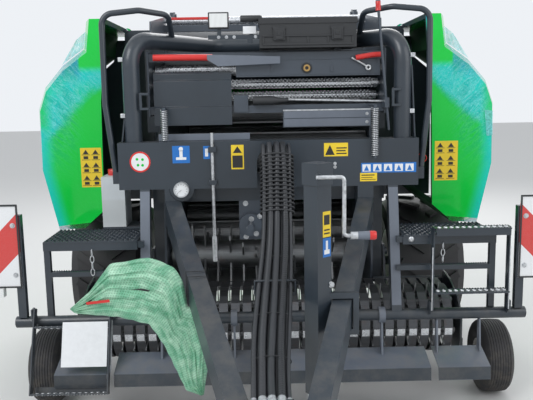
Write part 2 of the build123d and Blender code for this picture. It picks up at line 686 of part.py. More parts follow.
gauge_rim = gauge_rim + ring_x(GAUGE_RIM - 7.0, GAUGE_PIN + 14.0, -4.0, 4.0)
gauge_hub = GAUGE_WIDTH / 2 - 20.0
gauge_rim = gauge_rim + ring_x(GAUGE_PIN + 16.0, GAUGE_PIN + RUN, -gauge_hub, gauge_hub)
gauge_rim = Pos(GAUGE_X, GAUGE_Y, GAUGE_RADIUS) * gauge_rim
save("gauge_tyre_right", gauge_tyre)
save("gauge_tyre_left", flip(gauge_tyre))
save("gauge_rim_right", gauge_rim)
save("gauge_rim_left", flip(gauge_rim))

# Headstock: folded front plate in two halves joined at the top, open behind
HEAD_WALL = 14.0
NOTCH_LEFT = -60.0
NOTCH_RIGHT = 125.0
NOTCH_TOP = HEAD_TOP - 25.0
LOBE_X = -446.0
LOBE_RADIUS = 62.0
HEAD_FACE = HEAD_FRONT + HEAD_WALL
head_in = HEAD_HALF - HEAD_WALL
head = block(-HEAD_HALF, HEAD_HALF, HEAD_FRONT, HEAD_REAR, HEAD_LOW, HEAD_TOP)
head = head - block(-head_in, head_in, HEAD_FACE, HEAD_REAR + 1.0, HEAD_LOW + HEAD_WALL, HEAD_TOP - HEAD_WALL)
notch_x = (NOTCH_LEFT + NOTCH_RIGHT) / 2
notch_half = (NOTCH_RIGHT - NOTCH_LEFT) / 2
notch_z = NOTCH_TOP - notch_half
head = head - block(NOTCH_LEFT, NOTCH_RIGHT, HEAD_FRONT - 1.0, HEAD_REAR + 2.0, HEAD_LOW - 1.0, notch_z)
head = head - rod(notch_half, (notch_x, HEAD_FRONT - 1.0, notch_z), (notch_x, HEAD_REAR + 2.0, notch_z))
lobe = rod(LOBE_RADIUS, (LOBE_X, HEAD_FRONT, HEAD_LOW), (LOBE_X, HEAD_FACE, HEAD_LOW))
for x in (-HEAD_HALF, -NOTCH_RIGHT - HEAD_WALL, NOTCH_RIGHT, HEAD_HALF - HEAD_WALL):
    head = head + block(x, x + HEAD_WALL, HEAD_FRONT, HEAD_REAR, HEAD_LOW, HEAD_TOP)
save("headstock", head + lobe)

# Pressure gauge in the lobe
dial = rod(38.0, (LOBE_X, HEAD_FRONT - 34.0, HEAD_LOW), (LOBE_X, HEAD_FRONT, HEAD_LOW))
save("pressure_gauge", dial)

# Drawbar: two box beams converging on the hitch


def beam_section(x, y, z):
    return Plane(origin=(x, y, z), x_dir=(1, 0, 0), z_dir=(0, -1, 0)) * Rectangle(BEAM_WIDTH, BEAM_HEIGHT)


beam_rear = (BEAM_REAR_X, HEAD_FRONT, BEAM_REAR_Z - BEAM_HEIGHT / 2)
beam_front = (BEAM_FRONT_X, BEAM_FRONT_Y, BEAM_FRONT_Z)
beam_run = HEAD_FRONT - BEAM_FRONT_Y


def beam_at(y):
    # Middle of the right beam's section at y.
    share = (HEAD_FRONT - y) / beam_run
    x = BEAM_REAR_X + (BEAM_FRONT_X - BEAM_REAR_X) * share
    return x, beam_rear[2] + (BEAM_FRONT_Z - beam_rear[2]) * share


beam = loft([beam_section(*beam_rear), beam_section(*beam_front)], ruled=True)
root_x = (BEAM_REAR_X - BEAM_WIDTH / 2, BEAM_REAR_X + BEAM_WIDTH / 2)
beam_root = block(*root_x, HEAD_FRONT, HEAD_REAR, HEAD_LOW - BEAM_HEIGHT, HEAD_LOW)
lobe_room = rod(LOBE_RADIUS + 2.0, (LOBE_X, HEAD_FRONT - 60.0, HEAD_LOW), (LOBE_X, HEAD_FACE + 2.0, HEAD_LOW))
save("drawbar_beams", beam + beam_root, flip(beam + beam_root) - lobe_room)

# Drawbar head and hitch eye
head_half = BEAM_FRONT_X + BEAM_WIDTH / 2
nose = plate_z(
    [
        (-head_half, BEAM_FRONT_Y),
        (-head_half, BEAM_FRONT_Y - 40.0),
        (-60.0, BEAM_FRONT_Y - 120.0),
        (60.0, BEAM_FRONT_Y - 120.0),
        (head_half, BEAM_FRONT_Y - 40.0),
        (head_half, BEAM_FRONT_Y),
    ],
    BEAM_FRONT_Z - BEAM_HEIGHT / 2,
    BEAM_FRONT_Z + BEAM_HEIGHT / 2,
)
save("drawbar_head", nose)
EYE_Z = BEAM_FRONT_Z - EYE_DROP
eye = Pos(0, EYE_Y, EYE_Z) * Cylinder(EYE_RADIUS, EYE_THICK)
shank = block(-38.0, 38.0, EYE_Y, BEAM_FRONT_Y - 120.0, EYE_Z - EYE_THICK / 2, EYE_Z + EYE_THICK / 2)
eye = eye + shank - Pos(0, EYE_Y, EYE_Z) * Cylinder(EYE_BORE, EYE_THICK + 2.0)
save("hitch_eye", eye)

# Parking jack: square tube turned on its axis, geared top, beam clamp and hand crank
JACK_HOLLOW = JACK_SIDE - 2 * JACK_WALL
LEG_SIDE = JACK_HOLLOW - 2 * LEG_GAP
LEG_TOP = 676.0
FOOT_RADIUS = 95.0
FOOT_THICK = 12.0
GEAR_SIDE = 88.0
CRANK_Y = JACK_Y - 100.0
CRANK_Z = JACK_HIGH + 40.0
CRANK_DROP = 230.0
CRANK_BAR = 8.0
CLAMP_HALF = 12.0
CLAMP_BAR = 24.0


def on_jack(side, z0, z1):
    return Pos(JACK_X, JACK_Y, (z0 + z1) / 2) * Rot(0, 0, JACK_TURN) * Box(side, side, z1 - z0)


jack_core = on_jack(JACK_HOLLOW, JACK_LOW - 1.0, JACK_HIGH)
jack = on_jack(JACK_SIDE, JACK_LOW, JACK_HIGH) + on_jack(GEAR_SIDE, JACK_HIGH, JACK_HIGH + GEAR_SIDE)
shaft = rod(13.0, (JACK_X, JACK_Y - 40.0, CRANK_Z), (JACK_X, CRANK_Y + CRANK_BAR + SEAT, CRANK_Z))
beam_x, beam_z = beam_at(JACK_Y)
clamp_rise = CLAMP_HALF * (beam_rear[2] - BEAM_FRONT_Z) / beam_run + SEAT
clamp_swing = CLAMP_HALF * (BEAM_REAR_X - BEAM_FRONT_X) / beam_run + SEAT
clamp_low = beam_z - BEAM_HEIGHT / 2 - clamp_rise
clamp_high = beam_z + BEAM_HEIGHT / 2 + clamp_rise
clamp_side = beam_x + BEAM_WIDTH / 2 + clamp_swing
clamp_end = clamp_side + CLAMP_BAR
clamp_y = (JACK_Y - CLAMP_HALF, JACK_Y + CLAMP_HALF)
clamp = block(JACK_X, clamp_end, *clamp_y, clamp_high, clamp_high + CLAMP_BAR)
clamp = clamp + block(JACK_X, clamp_end, *clamp_y, clamp_low - CLAMP_BAR, clamp_low)
clamp = clamp + block(clamp_side, clamp_end, *clamp_y, clamp_low - CLAMP_BAR, clamp_high + CLAMP_BAR)
save("jack_tube", (jack + clamp - jack_core) + shaft)
leg = on_jack(LEG_SIDE, FOOT_THICK / 2, LEG_TOP)
foot = Pos(JACK_X, JACK_Y, FOOT_THICK / 2) * Cylinder(FOOT_RADIUS, FOOT_THICK)
save("jack_leg", leg + foot)
crank = pipe(
    [
        (JACK_X - 14.0, CRANK_Y, CRANK_Z),
        (JACK_X + 95.0, CRANK_Y, CRANK_Z),
        (JACK_X + 95.0, CRANK_Y, CRANK_Z - CRANK_DROP),
        (JACK_X + 200.0, CRANK_Y, CRANK_Z - CRANK_DROP),
    ],
    14.0,
    CRANK_BAR,
)
grip = bar_x(15.0, JACK_X + 120.0, JACK_X + 206.0, CRANK_Y, CRANK_Z - CRANK_DROP)
save("jack_crank", crank + grip)

# Bent guard tube over the headstock
GUARD_RADIUS = 44.0
GUARD_X = 690.0
GUARD_IN = 300.0
GUARD_Y = -240.0
GUARD_BACK = 380.0
GUARD_TOP = 1950.0
guard = pipe(
    [
        (-GUARD_X, GUARD_Y, HEAD_TOP),
        (-GUARD_X, GUARD_Y, GUARD_TOP),
        (-GUARD_IN, GUARD_BACK, GUARD_TOP),
        (GUARD_IN, GUARD_BACK, GUARD_TOP),
        (GUARD_X, GUARD_Y, GUARD_TOP),
        (GUARD_X, GUARD_Y, HEAD_TOP),
    ],
    130.0,
    GUARD_RADIUS,
)
save("guard_tube", guard)

# Handrails from the headstock's ends up and in to the guard tube
RAIL_TUBE = 15.0
HAND_TOP = GUARD_TOP + 145.0
HAND_X = HEAD_HALF + 60.0
HAND_END = 505.0
hand_end_y = GUARD_Y + (GUARD_BACK - GUARD_Y) * (GUARD_X - HAND_END) / (GUARD_X - GUARD_IN)
hand = pipe(
    [
        (HEAD_HALF + 18.0, HEAD_FRONT + 40.0, HEAD_LOW + 60.0),
        (HAND_X, HEAD_FRONT + 50.0, HEAD_LOW + 430.0),
        (HAND_X, GUARD_Y, HAND_TOP - 20.0),
        (HAND_END + 135.0, GUARD_Y + 20.0, HAND_TOP),
        (HAND_END, GUARD_Y + 110.0, HAND_TOP - 15.0),
        (HAND_END, hand_end_y, GUARD_TOP),
    ],
    60.0,
    RAIL_TUBE,
)
hand = hand - rod(GUARD_RADIUS + SEAT, (GUARD_X, GUARD_Y, GUARD_TOP), (GUARD_IN, GUARD_BACK, GUARD_TOP))
foot_y = (HEAD_FRONT + 20.0, HEAD_FRONT + 60.0)
foot_block = block(HEAD_HALF, HEAD_HALF + 34.0, *foot_y, HEAD_LOW + 30.0, HEAD_LOW + 90.0)
save("handrails", both(hand + foot_block))

# Step frame: transverse tube, posts and side uprights
STEP_BAR = 30.0
MID_Z = TUBE_Z + 228.0
tube = bar_x(TUBE_RADIUS, -TUBE_HALF, TUBE_HALF, TUBE_Y, TUBE_Z)
post = plate_x(
    [
        (HEAD_FRONT, HEAD_LOW),
        (HEAD_FRONT + POST, HEAD_LOW),
        (TUBE_Y + POST / 2, TUBE_Z),
        (TUBE_Y - POST / 2, TUBE_Z),
    ],
    POST_X - POST / 2,
    POST_X + POST / 2,
)
step_y = (TUBE_Y + DECK_SHEET, TUBE_Y + DECK_SHEET + STEP_BAR)
bearer_z = (DECK_TOP - DECK_SHEET - STEP_BAR, DECK_TOP - DECK_SHEET)
upright = block(DECK_OUT - STEP_BAR, DECK_OUT, *step_y, TUBE_Z, DECK_TOP - DECK_SHEET)
mid = block(POST_X, DECK_OUT - 10.0, TUBE_Y + DECK_SHEET, TUBE_Y + 31.0, MID_Z, MID_Z + 25.0)
bearer = block(POST_X, DECK_OUT, *step_y, *bearer_z)
for x in (DECK_IN + 10.0, DECK_OUT - STEP_BAR):
    bearer = bearer + block(x, x + STEP_BAR, TUBE_Y + STEP_BAR, DECK_REAR, *bearer_z)
LADDER_Y = TUBE_Y - 40.0
LADDER_Z = TUBE_Z + 58.0
LADDER_PIN = 8.0
LUG_HALF = 22.0
LUG_PLATE = 8.0
LUG_IN = DECK_OUT - 344.0
LUG_OUT = DECK_OUT + 54.0
lug_outline = [
    (LADDER_Y - LUG_HALF, LADDER_Z - LUG_HALF),
    (LADDER_Y - LUG_HALF, LADDER_Z + LUG_HALF),
    (LADDER_Y + LUG_HALF, LADDER_Z + LUG_HALF),
    (TUBE_Y + 25.0, TUBE_Z + 5.0),
    (TUBE_Y - 20.0, TUBE_Z - 5.0),
]
side_frame = post + upright + mid + bearer
for x, pin_from, pin_to in ((LUG_IN, 0.0, 22.0), (LUG_OUT, -10.0, LUG_PLATE)):
    side_frame = side_frame + plate_x(lug_outline, x, x + LUG_PLATE)
    side_frame = side_frame + bar_x(LADDER_PIN, x + pin_from, x + pin_to, LADDER_Y, LADDER_Z)
save("step_frame", tube + side_frame + flip(side_frame))

# Decks of tread plate with a folded front lip
deck = block(DECK_IN, DECK_OUT, TUBE_Y, DECK_REAR, DECK_TOP - DECK_SHEET, DECK_TOP)
deck = deck + block(DECK_IN, DECK_OUT, TUBE_Y, TUBE_Y + DECK_SHEET, DECK_TOP - DECK_LIP, DECK_TOP)
save("decks", both(deck))

# Folding ladders: two side plates and two treads each, hung on the lugs
LADDER_IN = LUG_IN + 12.0
LADDER_OUT = LUG_OUT - 4.0
LADDER_REACH = 400.0
LADDER_SHEET = 6.0
LADDER_DOWN = 158.0
TREAD_OUT = 48.0


def ladder(turn):
    # Built standing straight up from its pivot, then turned forward.
    frame = []
    for x0 in (LADDER_IN, LADDER_OUT - LADDER_SHEET):
        x1 = x0 + LADDER_SHEET
        side = block(x0, x1, -LUG_HALF, LUG_HALF, -LUG_HALF, LADDER_REACH)
        frame.append(side - bar_x(LADDER_PIN + RUN, x0 - 5.0, x1 + 5.0, 0, 0))
    for z in (70.0, LADDER_REACH - 8.0):
        tread_x = (LADDER_IN + LADDER_SHEET - 1.0, LADDER_OUT - LADDER_SHEET + 1.0)
        frame.append(block(*tread_x, -TREAD_OUT, LUG_HALF, z, z + LADDER_SHEET))
    return Pos(0, LADDER_Y, LADDER_Z) * Rot(turn, 0, 0) * (frame[0] + frame[1:])


save("ladder_right", ladder(0.0))
save("ladder_left", flip(ladder(LADDER_DOWN)))

# Wind guard hung from the transverse tube, and the fixed guides outboard of it
GUARD_HALF = 785.0
GUIDE_IN = GUARD_HALF + 37.0
GUIDE_OUT = REEL_HALF + 40.0
GUARD_TOP_Z = TUBE_Z - 181.0
GUARD_LOW_Z = TUBE_Z - 297.0
HANGER_LOW = GUARD_TOP_Z - 6.0
guard_profile = [
    (TUBE_Y + 20.0, GUARD_TOP_Z),
    (TUBE_Y - 140.0, GUARD_TOP_Z - 50.0),
    (TUBE_Y - 146.0, GUARD_LOW_Z),
    (TUBE_Y - 140.0, GUARD_LOW_Z),
    (TUBE_Y - 134.0, GUARD_TOP_Z - 56.0),
    (TUBE_Y + 20.0, GUARD_TOP_Z - 8.0),
]
hanger_outline = [
    (TUBE_Y - 16.0, TUBE_Z),
    (TUBE_Y + 16.0, TUBE_Z),
    (TUBE_Y + 16.0, HANGER_LOW),
    (TUBE_Y - 40.0, HANGER_LOW - 15.0),
]
guide_outline = [
    (TUBE_Y - 14.0, TUBE_Z - TUBE_RADIUS + 1.0),
    (TUBE_Y + 14.0, TUBE_Z - TUBE_RADIUS + 1.0),
    (TUBE_Y + 14.0, HANGER_LOW - 2.0),
    (TUBE_Y - 34.0, HANGER_LOW - 15.0),
]
hanger = plate_x(hanger_outline, -5.0, 5.0) + bar_x(TUBE_RADIUS + 12.0, -16.0, 16.0, TUBE_Y, TUBE_Z)
hanger = hanger - bar_x(TUBE_RADIUS + SEAT, -20.0, 20.0, TUBE_Y, TUBE_Z)
guard_parts = plate_x(guard_profile, -GUARD_HALF, GUARD_HALF)
for x in (-560.0, -190.0, 190.0, 560.0):
    guard_parts = guard_parts + Pos(x, 0, 0) * hanger
save("wind_guard", guard_parts)
guide = plate_x(guard_profile, GUIDE_IN, GUIDE_OUT)
for x in (GUIDE_IN + 20.0, GUIDE_OUT - 20.0):
    guide = guide + plate_x(guide_outline, x - 4.0, x + 4.0)
guide = guide - bar_x(TUBE_RADIUS + SEAT, GUIDE_IN - 5.0, GUIDE_OUT + 5.0, TUBE_Y, TUBE_Z)
save("crop_guides", both(guide))

# Toolbox size and place
BOX_LEFT = -35.0
BOX_RIGHT = 461.0
BOX_FRONT = HEAD_FRONT + 100.0
BOX_REAR = BOX_FRONT + 230.0
BOX_LOW = GUARD_TOP - 50.0
BOX_HIGH = BOX_LOW + 120.0
BOX_WALL = 6.0

# Net system: side plates, cross members, tray, brake panel, lever and springs
NET_IN = WALL_OUT
NET_OUT = NET_IN + 8.0
NET_FRONT = -160.0
NET_LOW = 1560.0
NET_AXLE = 10.0
TRAY_TOP = BOX_LOW - 9.0
TOP_ROLL_Y = 600.0
TOP_ROLL_Z = WALL_TOP - 32.0
net_plate = plate_x(
    [
        (NET_FRONT, NET_LOW),
        (NET_FRONT, TRAY_TOP + 2.0),
        (BOX_REAR - 68.0, TRAY_TOP + 2.0),
        (BOX_REAR - 38.0, BOX_HIGH + 40.0),
        (TOP_ROLL_Y + 40.0, TOP_ROLL_Z + 32.0),
        (TOP_ROLL_Y + 40.0, BOX_LOW),
        (420.0, NET_LOW),
    ],
    NET_IN,
    NET_OUT,
)
NET_ROLLERS = (
    # y, z, radius
    (0.0, 1720.0, 24.0),
    (62.0, 1655.0, 24.0),
    (40.0, 1800.0, 30.0),
    (TOP_ROLL_Y, TOP_ROLL_Z, 22.0),
)
net_rolls = []
for y, z, radius in NET_ROLLERS:
    net_plate = net_plate - bar_x(NET_AXLE + RUN, NET_IN - 5.0, NET_OUT + 5.0, y, z)
    barrel = bar_x(radius, -NET_IN + 10.0, NET_IN - 10.0, y, z)
    net_rolls.append(barrel + bar_x(NET_AXLE, -NET_OUT, NET_OUT, y, z))
for angle in CHAIN_ANGLES:
    net_plate = net_plate - bar_x(ROLLER_SHAFT + 6.0, NET_IN - 5.0, NET_OUT + 5.0, *around(angle))
TIE = 40.0
tie_y = (NET_FRONT + 10.0, NET_FRONT + 10.0 + TIE)
low_tie = block(-NET_IN, NET_IN, *tie_y, NET_LOW + 10.0, NET_LOW + 10.0 + TIE)
high_tie = block(-NET_IN, NET_IN, *tie_y, TRAY_TOP - 51.0, TRAY_TOP - 51.0 + TIE)
rear_tie = block(-NET_IN, NET_IN, TOP_ROLL_Y - 60.0, TOP_ROLL_Y - 20.0, TOP_ROLL_Z - 68.0, TOP_ROLL_Z - 28.0)
tray = block(-NET_IN, NET_IN, -60.0, 430.0, TRAY_TOP - SHEET, TRAY_TOP)
for x in (20.0, 360.0):
    tray = tray + block(x, x + TIE, -60.0, 20.0, TRAY_TOP, BOX_LOW)
brake_panel = block(81.0, 542.0, tie_y[0] - 20.0, tie_y[0], 1493.0, NET_LOW + 25.0)
brake_bracket = block(-175.0, -100.0, tie_y[0] - 8.0, tie_y[0], NET_LOW + 17.0, NET_LOW + 104.0)
low_tie = low_tie + brake_panel + brake_bracket
SPRING = 9.0
SPRING_HOOK = 5.0
SPRINGS = (
    # x, y, foot z
    (-528.0, -260.0, HEAD_TOP + SEAT),
    (538.0, -320.0, HEAD_TOP - 97.0),
)
hook_z = NET_LOW + 42.0
for x, y, foot_z in SPRINGS:
    low_tie = low_tie + rod(SPRING, (x, y, foot_z), (x, y, hook_z + SPRING_HOOK))
    low_tie = low_tie + rod(SPRING_HOOK, (x, y, hook_z), (x, tie_y[0] + 1.0, hook_z))
foot_x, foot_y, foot_z = SPRINGS[1]
low_tie = low_tie + rod(
    SPRING_HOOK, (foot_x, foot_y, foot_z + 8.0), (foot_x, HEAD_FRONT - SEAT, foot_z + 8.0)
)
LEVER_Y = -250.0
lever = rod(7.0, (621.0, LEVER_Y, HEAD_TOP + 40.0), (563.0, LEVER_Y, 2075.0))
lever = lever + rod(12.0, (563.0, LEVER_Y, 2070.0), (560.0, LEVER_Y, 2122.0))
lever_arm = block(NET_IN - 14.0, NET_OUT, LEVER_Y - 12.0, NET_FRONT + 10.0, NET_LOW + 30.0, NET_LOW + 80.0)
save("net_frame", net_plate + lever_arm + lever, flip(net_plate), low_tie, high_tie, rear_tie, tray)
save("net_rollers", net_rolls)

# Toolbox with its lid, hinged on a pin between two ears behind
LID_PIN = 4.0
LID_BARREL = 7.0
LID_THICK = 30.0
EAR = 10.0
LID_Y = BOX_REAR + LID_BARREL + 2.0
LID_Z = BOX_HIGH + SEAT + LID_BARREL
box_in = (BOX_LEFT + BOX_WALL, BOX_RIGHT - BOX_WALL, BOX_FRONT + BOX_WALL, BOX_REAR - BOX_WALL)
box_shell = block(BOX_LEFT, BOX_RIGHT, BOX_FRONT, BOX_REAR, BOX_LOW, BOX_HIGH)
box_shell = box_shell - block(*box_in, BOX_LOW + BOX_WALL, BOX_HIGH + 1.0)
for x in (BOX_LEFT, BOX_RIGHT - EAR):
    ear = block(x, x + EAR, BOX_REAR - 1.0, LID_Y + LID_BARREL, BOX_HIGH - 16.0, BOX_HIGH)
    ear = ear + bar_x(LID_BARREL, x, x + EAR, LID_Y, LID_Z)
    box_shell = box_shell + (ear - bar_x(LID_PIN + RUN, x - 1.0, x + EAR + 1.0, LID_Y, LID_Z))
save("toolbox", box_shell)
lid_z = (BOX_HIGH + SEAT, BOX_HIGH + LID_THICK)
lid = block(BOX_LEFT - 4.0, BOX_RIGHT + 4.0, BOX_FRONT - 4.0, BOX_REAR - 2.0, *lid_z)
lid = lid + block(BOX_LEFT + EAR + 2.0, BOX_RIGHT - EAR - 2.0, BOX_REAR - 3.0, LID_Y, *lid_z)
lid = lid + bar_x(LID_BARREL, BOX_LEFT + EAR + 2.0, BOX_RIGHT - EAR - 2.0, LID_Y, LID_Z)
lid = lid + bar_x(LID_PIN, BOX_LEFT, BOX_RIGHT, LID_Y, LID_Z)
save("toolbox_lid", lid)

# Main gearbox with its input stub
STUB_PTO = 17.45
INPUT_BOSS = 60.0
PTO_X = -100.0
PTO_Z = 985.0
GEAR_FRONT = HEAD_FRONT + 125.0
gear_x = (PTO_X - INPUT_BOSS, PTO_X + 200.0)
gearbox = block(*gear_x, GEAR_FRONT, GEAR_FRONT + 235.0, PTO_Z - 85.0, PTO_Z + 125.0)
input_boss = rod(INPUT_BOSS, (PTO_X, GEAR_FRONT - 40.0, PTO_Z), (PTO_X, GEAR_FRONT + 1.0, PTO_Z))
input_stub = rod(STUB_PTO, (PTO_X, HEAD_FRONT, PTO_Z), (PTO_X, GEAR_FRONT - 35.0, PTO_Z))
save("gearbox", gearbox + input_boss + input_stub)
cross_member = block(-WALL_OUT, WALL_OUT, GEAR_FRONT, GEAR_FRONT + 80.0, PTO_Z + 125.0, HEAD_LOW + 60.0)
save("cross_member", cross_member)

# Oil tank on its shelf, hung on the left rail
TANK_IN = RAIL_OUT + 93.0
TANK_OUT = TANK_IN + 126.0
TANK_LOW = DECK_TOP + 5.0
TANK_Y = (DECK_REAR + 60.0, DECK_REAR + 240.0)
SHELF = 12.0
tank = block(-TANK_OUT, -TANK_IN, *TANK_Y, TANK_LOW, TANK_LOW + 275.0)
tank_cap = Pos(-TANK_OUT + 51.0, TANK_Y[0] + 90.0, TANK_LOW + 290.0) * Cylinder(28.0, 32.0)
tank_shelf = block(-TANK_OUT, -RAIL_OUT, *TANK_Y, TANK_LOW - SHELF, TANK_LOW - SEAT)
tank_arm = block(-RAIL_OUT - 10.0, -RAIL_OUT, TANK_Y[0], TANK_Y[0] + 120.0, TANK_LOW - SHELF, HEAD_LOW + 60.0)
save("oil_tank", tank + tank_cap)
save("tank_shelf", tank_shelf + tank_arm)

# Warning boards on arms from the transverse tube's ends
BOARD_WIDTH = 280.0
BOARD_HEIGHT = 420.0
BOARD_IN = TUBE_HALF - 50.0
BOARD_OUT = BOARD_IN + BOARD_WIDTH
BOARD_LOW = TUBE_Z + 188.0
BOARD_HIGH = BOARD_LOW + BOARD_HEIGHT
BOARD_Y = TUBE_Y - 26.0
board_middle = (BOARD_IN + BOARD_OUT) / 2
board_lamp_half = 0.18 * BOARD_WIDTH
arm_x = (TUBE_HALF - 60.0, TUBE_HALF - 20.0)
board = block(BOARD_IN, BOARD_OUT, BOARD_Y - DECK_SHEET, BOARD_Y, BOARD_LOW, BOARD_HIGH)
board_arm = block(*arm_x, BOARD_Y, TUBE_Y + 10.0, TUBE_Z + TUBE_RADIUS + SEAT, BOARD_HIGH - 55.0)
lamp_x = (board_middle - board_lamp_half, board_middle + board_lamp_half)
board_lamp = block(*lamp_x, BOARD_Y - 24.0, BOARD_Y + 16.0, BOARD_LOW - 45.0, BOARD_LOW)
save("warning_boards", both(board))
save("board_arms", both(board_arm))
save("marker_lamps", both(board_lamp))

# Side doors: hollow curved shells hinged along the top
DOOR_OUTLINE = [
    (870.0, 2085.0),
    (1005.0, 2085.0),
    (1025.0, 1935.0),
    (1150.0, 1845.0),
    (1255.0, 1725.0),
    (1300.0, 1600.0),
    (1305.0, 1260.0),
    (1225.0, 895.0),
    (1070.0, 910.0),
    (925.0, 1035.0),
    (912.0, 1640.0),
]


def inset(points, distances):
    # Moves each edge of a clockwise outline inward by its own distance.
    count = len(points)
    lines = []
    for k in range(count):
        x0, z0 = points[k]
        x1, z1 = points[(k + 1) % count]
        length = math.hypot(x1 - x0, z1 - z0)
        nx, nz = (z1 - z0) / length, -(x1 - x0) / length
        lines.append((x0 + nx * distances[k], z0 + nz * distances[k], x1 - x0, z1 - z0))
    corners = []
    for k in range(count):
        x0, z0, dx0, dz0 = lines[k - 1]
        x1, z1, dx1, dz1 = lines[k]
        cross = dx0 * dz1 - dz0 * dx1
        step = ((x1 - x0) * dz1 - (z1 - z0) * dx1) / cross
        corners.append((x0 + dx0 * step, z0 + dz0 * step))
    return corners


def door_section(points, y):
    front = Plane(origin=(0, y, 0), x_dir=(1, 0, 0), z_dir=(0, -1, 0))
    return front * make_face(Polyline(*points, close=True))


EDGES = len(DOOR_OUTLINE)
OUTER_EDGES = (1, 2, 3, 4, 5, 6, 7)
OPEN_EDGES = (EDGES - 2, EDGES - 1)
NOSE_STEP = 50.0
DOOR_SHOULDER = DOOR_FRONT + 150.0
DOOR_REAR = CHAMBER_Y - 60.0
nose_steps = []
hollow_steps = []
hollow_nose_steps = []
for k in range(EDGES):
    step = NOSE_STEP if k in OUTER_EDGES else 0.0
    wall = -60.0 if k in OPEN_EDGES else DOOR_WALL
    nose_steps.append(step)
    hollow_steps.append(wall)
    hollow_nose_steps.append(wall + step)
door_nose = door_section(inset(DOOR_OUTLINE, nose_steps), DOOR_FRONT)
door_form = loft([door_nose, door_section(DOOR_OUTLINE, DOOR_SHOULDER)], ruled=True)
door_form = door_form + plate_y(DOOR_OUTLINE, DOOR_SHOULDER, DOOR_REAR)
hollow_outline = inset(DOOR_OUTLINE, hollow_steps)
hollow_front = door_section(inset(DOOR_OUTLINE, hollow_nose_steps), DOOR_FRONT + DOOR_WALL)
hollow = loft([hollow_front, door_section(hollow_outline, DOOR_SHOULDER + DOOR_WALL)], ruled=True)
hollow = hollow + plate_y(hollow_outline, DOOR_SHOULDER + DOOR_WALL, DOOR_REAR + 1.0)
arch = bar_x(TYRE_RADIUS + 45.0, TRACK_HALF - WIDE - 100.0, TRACK_HALF + WIDE + 100.0, AXLE_Y, AXLE_Z)
door = door_form - hollow - arch
DOOR_BARREL = DOOR_PIN + 10.0
KNUCKLES = ((DOOR_FRONT + 600.0, DOOR_FRONT + 640.0), (DOOR_REAR - 60.0, DOOR_REAR - 20.0))
for y0, y1 in KNUCKLES:
    knuckle = rod(DOOR_BARREL, (DOOR_PIN_X, y0, DOOR_PIN_Z), (DOOR_PIN_X, y1, DOOR_PIN_Z))
    leaf = block(DOOR_PIN_X, DOOR_PIN_X + 24.0, y0, y1, DOOR_PIN_Z - 4.0, DOOR_PIN_Z + 10.0)
    door = door + knuckle + leaf
door = door - rod(
    DOOR_PIN + RUN, (DOOR_PIN_X, DOOR_FRONT, DOOR_PIN_Z), (DOOR_PIN_X, DOOR_REAR + 50.0, DOOR_PIN_Z)
)
save("side_door_right", door)
save("side_door_left", flip(door))

# Hinge arms that carry the side doors: the front one from the net plate, the rear one from the wall
ARM_DROP = 26.0
ARM_WIDE = 40.0
arms = rod(DOOR_PIN, (DOOR_PIN_X, DOOR_FRONT + 520.0, DOOR_PIN_Z), (DOOR_PIN_X, DOOR_REAR - 10.0, DOOR_PIN_Z))
for x, y in ((NET_OUT, DOOR_FRONT + 530.0), (WALL_OUT, DOOR_REAR - 120.0)):
    arms = arms + block(x, DOOR_PIN_X, y, y + ARM_WIDE, DOOR_PIN_Z - ARM_DROP, DOOR_PIN_Z)
save("door_arms", both(arms))

# Hoses from the headstock gap down to the hitch, in a row two deep, held by a bridge in the
# gap, a band halfway and a clamp on the drawbar head
HEAD_PLATE = BEAM_FRONT_Z + BEAM_HEIGHT / 2
HOSES = (
    # across, up, radius
    (-52.0, 0.0, 12.0),
    (-26.0, 18.0, 13.0),
    (0.0, 0.0, 12.0),
    (26.0, 18.0, 13.0),
    (52.0, 0.0, 12.0),
)
HOSE_LINE = (
    # x, y, z, spread
    (32.0, HEAD_REAR + 40.0, 1325.0, 1.0),
    (32.0, HEAD_FRONT - 20.0, 1325.0, 1.0),
    (36.0, HEAD_FRONT - 130.0, 1425.0, 1.0),
    (38.0, HEAD_FRONT - 230.0, 1350.0, 1.05),
    (34.0, HEAD_FRONT - 400.0, 1060.0, 1.1),
    (10.0, HEAD_FRONT - 700.0, 860.0, 1.2),
    (-20.0, HEAD_FRONT - 1150.0, 690.0, 1.1),
    (-20.0, BEAM_FRONT_Y - 20.0, HEAD_PLATE + 26.0, 1.0),
)
HOSE_BEND = 85.0
BAND_AT = 5
bridge_y = HEAD_REAR - 25.0
hoses = block(NOTCH_LEFT, NOTCH_RIGHT, bridge_y, bridge_y + 10.0, notch_z - 27.5, notch_z - 0.5)
hoses = hoses + block(-92.0, 52.0, BEAM_FRONT_Y - 16.0, BEAM_FRONT_Y - 4.0, HEAD_PLATE, HEAD_PLATE + 52.0)
band_x, band_y, band_z, band_spread = HOSE_LINE[BAND_AT]
hoses = hoses + block(band_x - 80.0, band_x + 80.0, band_y - 5.0, band_y + 5.0, band_z - 24.0, band_z + 42.0)
for across, up, radius in HOSES:
    path = [(x + across * spread, y, z + up) for x, y, z, spread in HOSE_LINE]
    hoses = hoses + pipe(path, HOSE_BEND, radius)
save("hose_bundle", hoses)

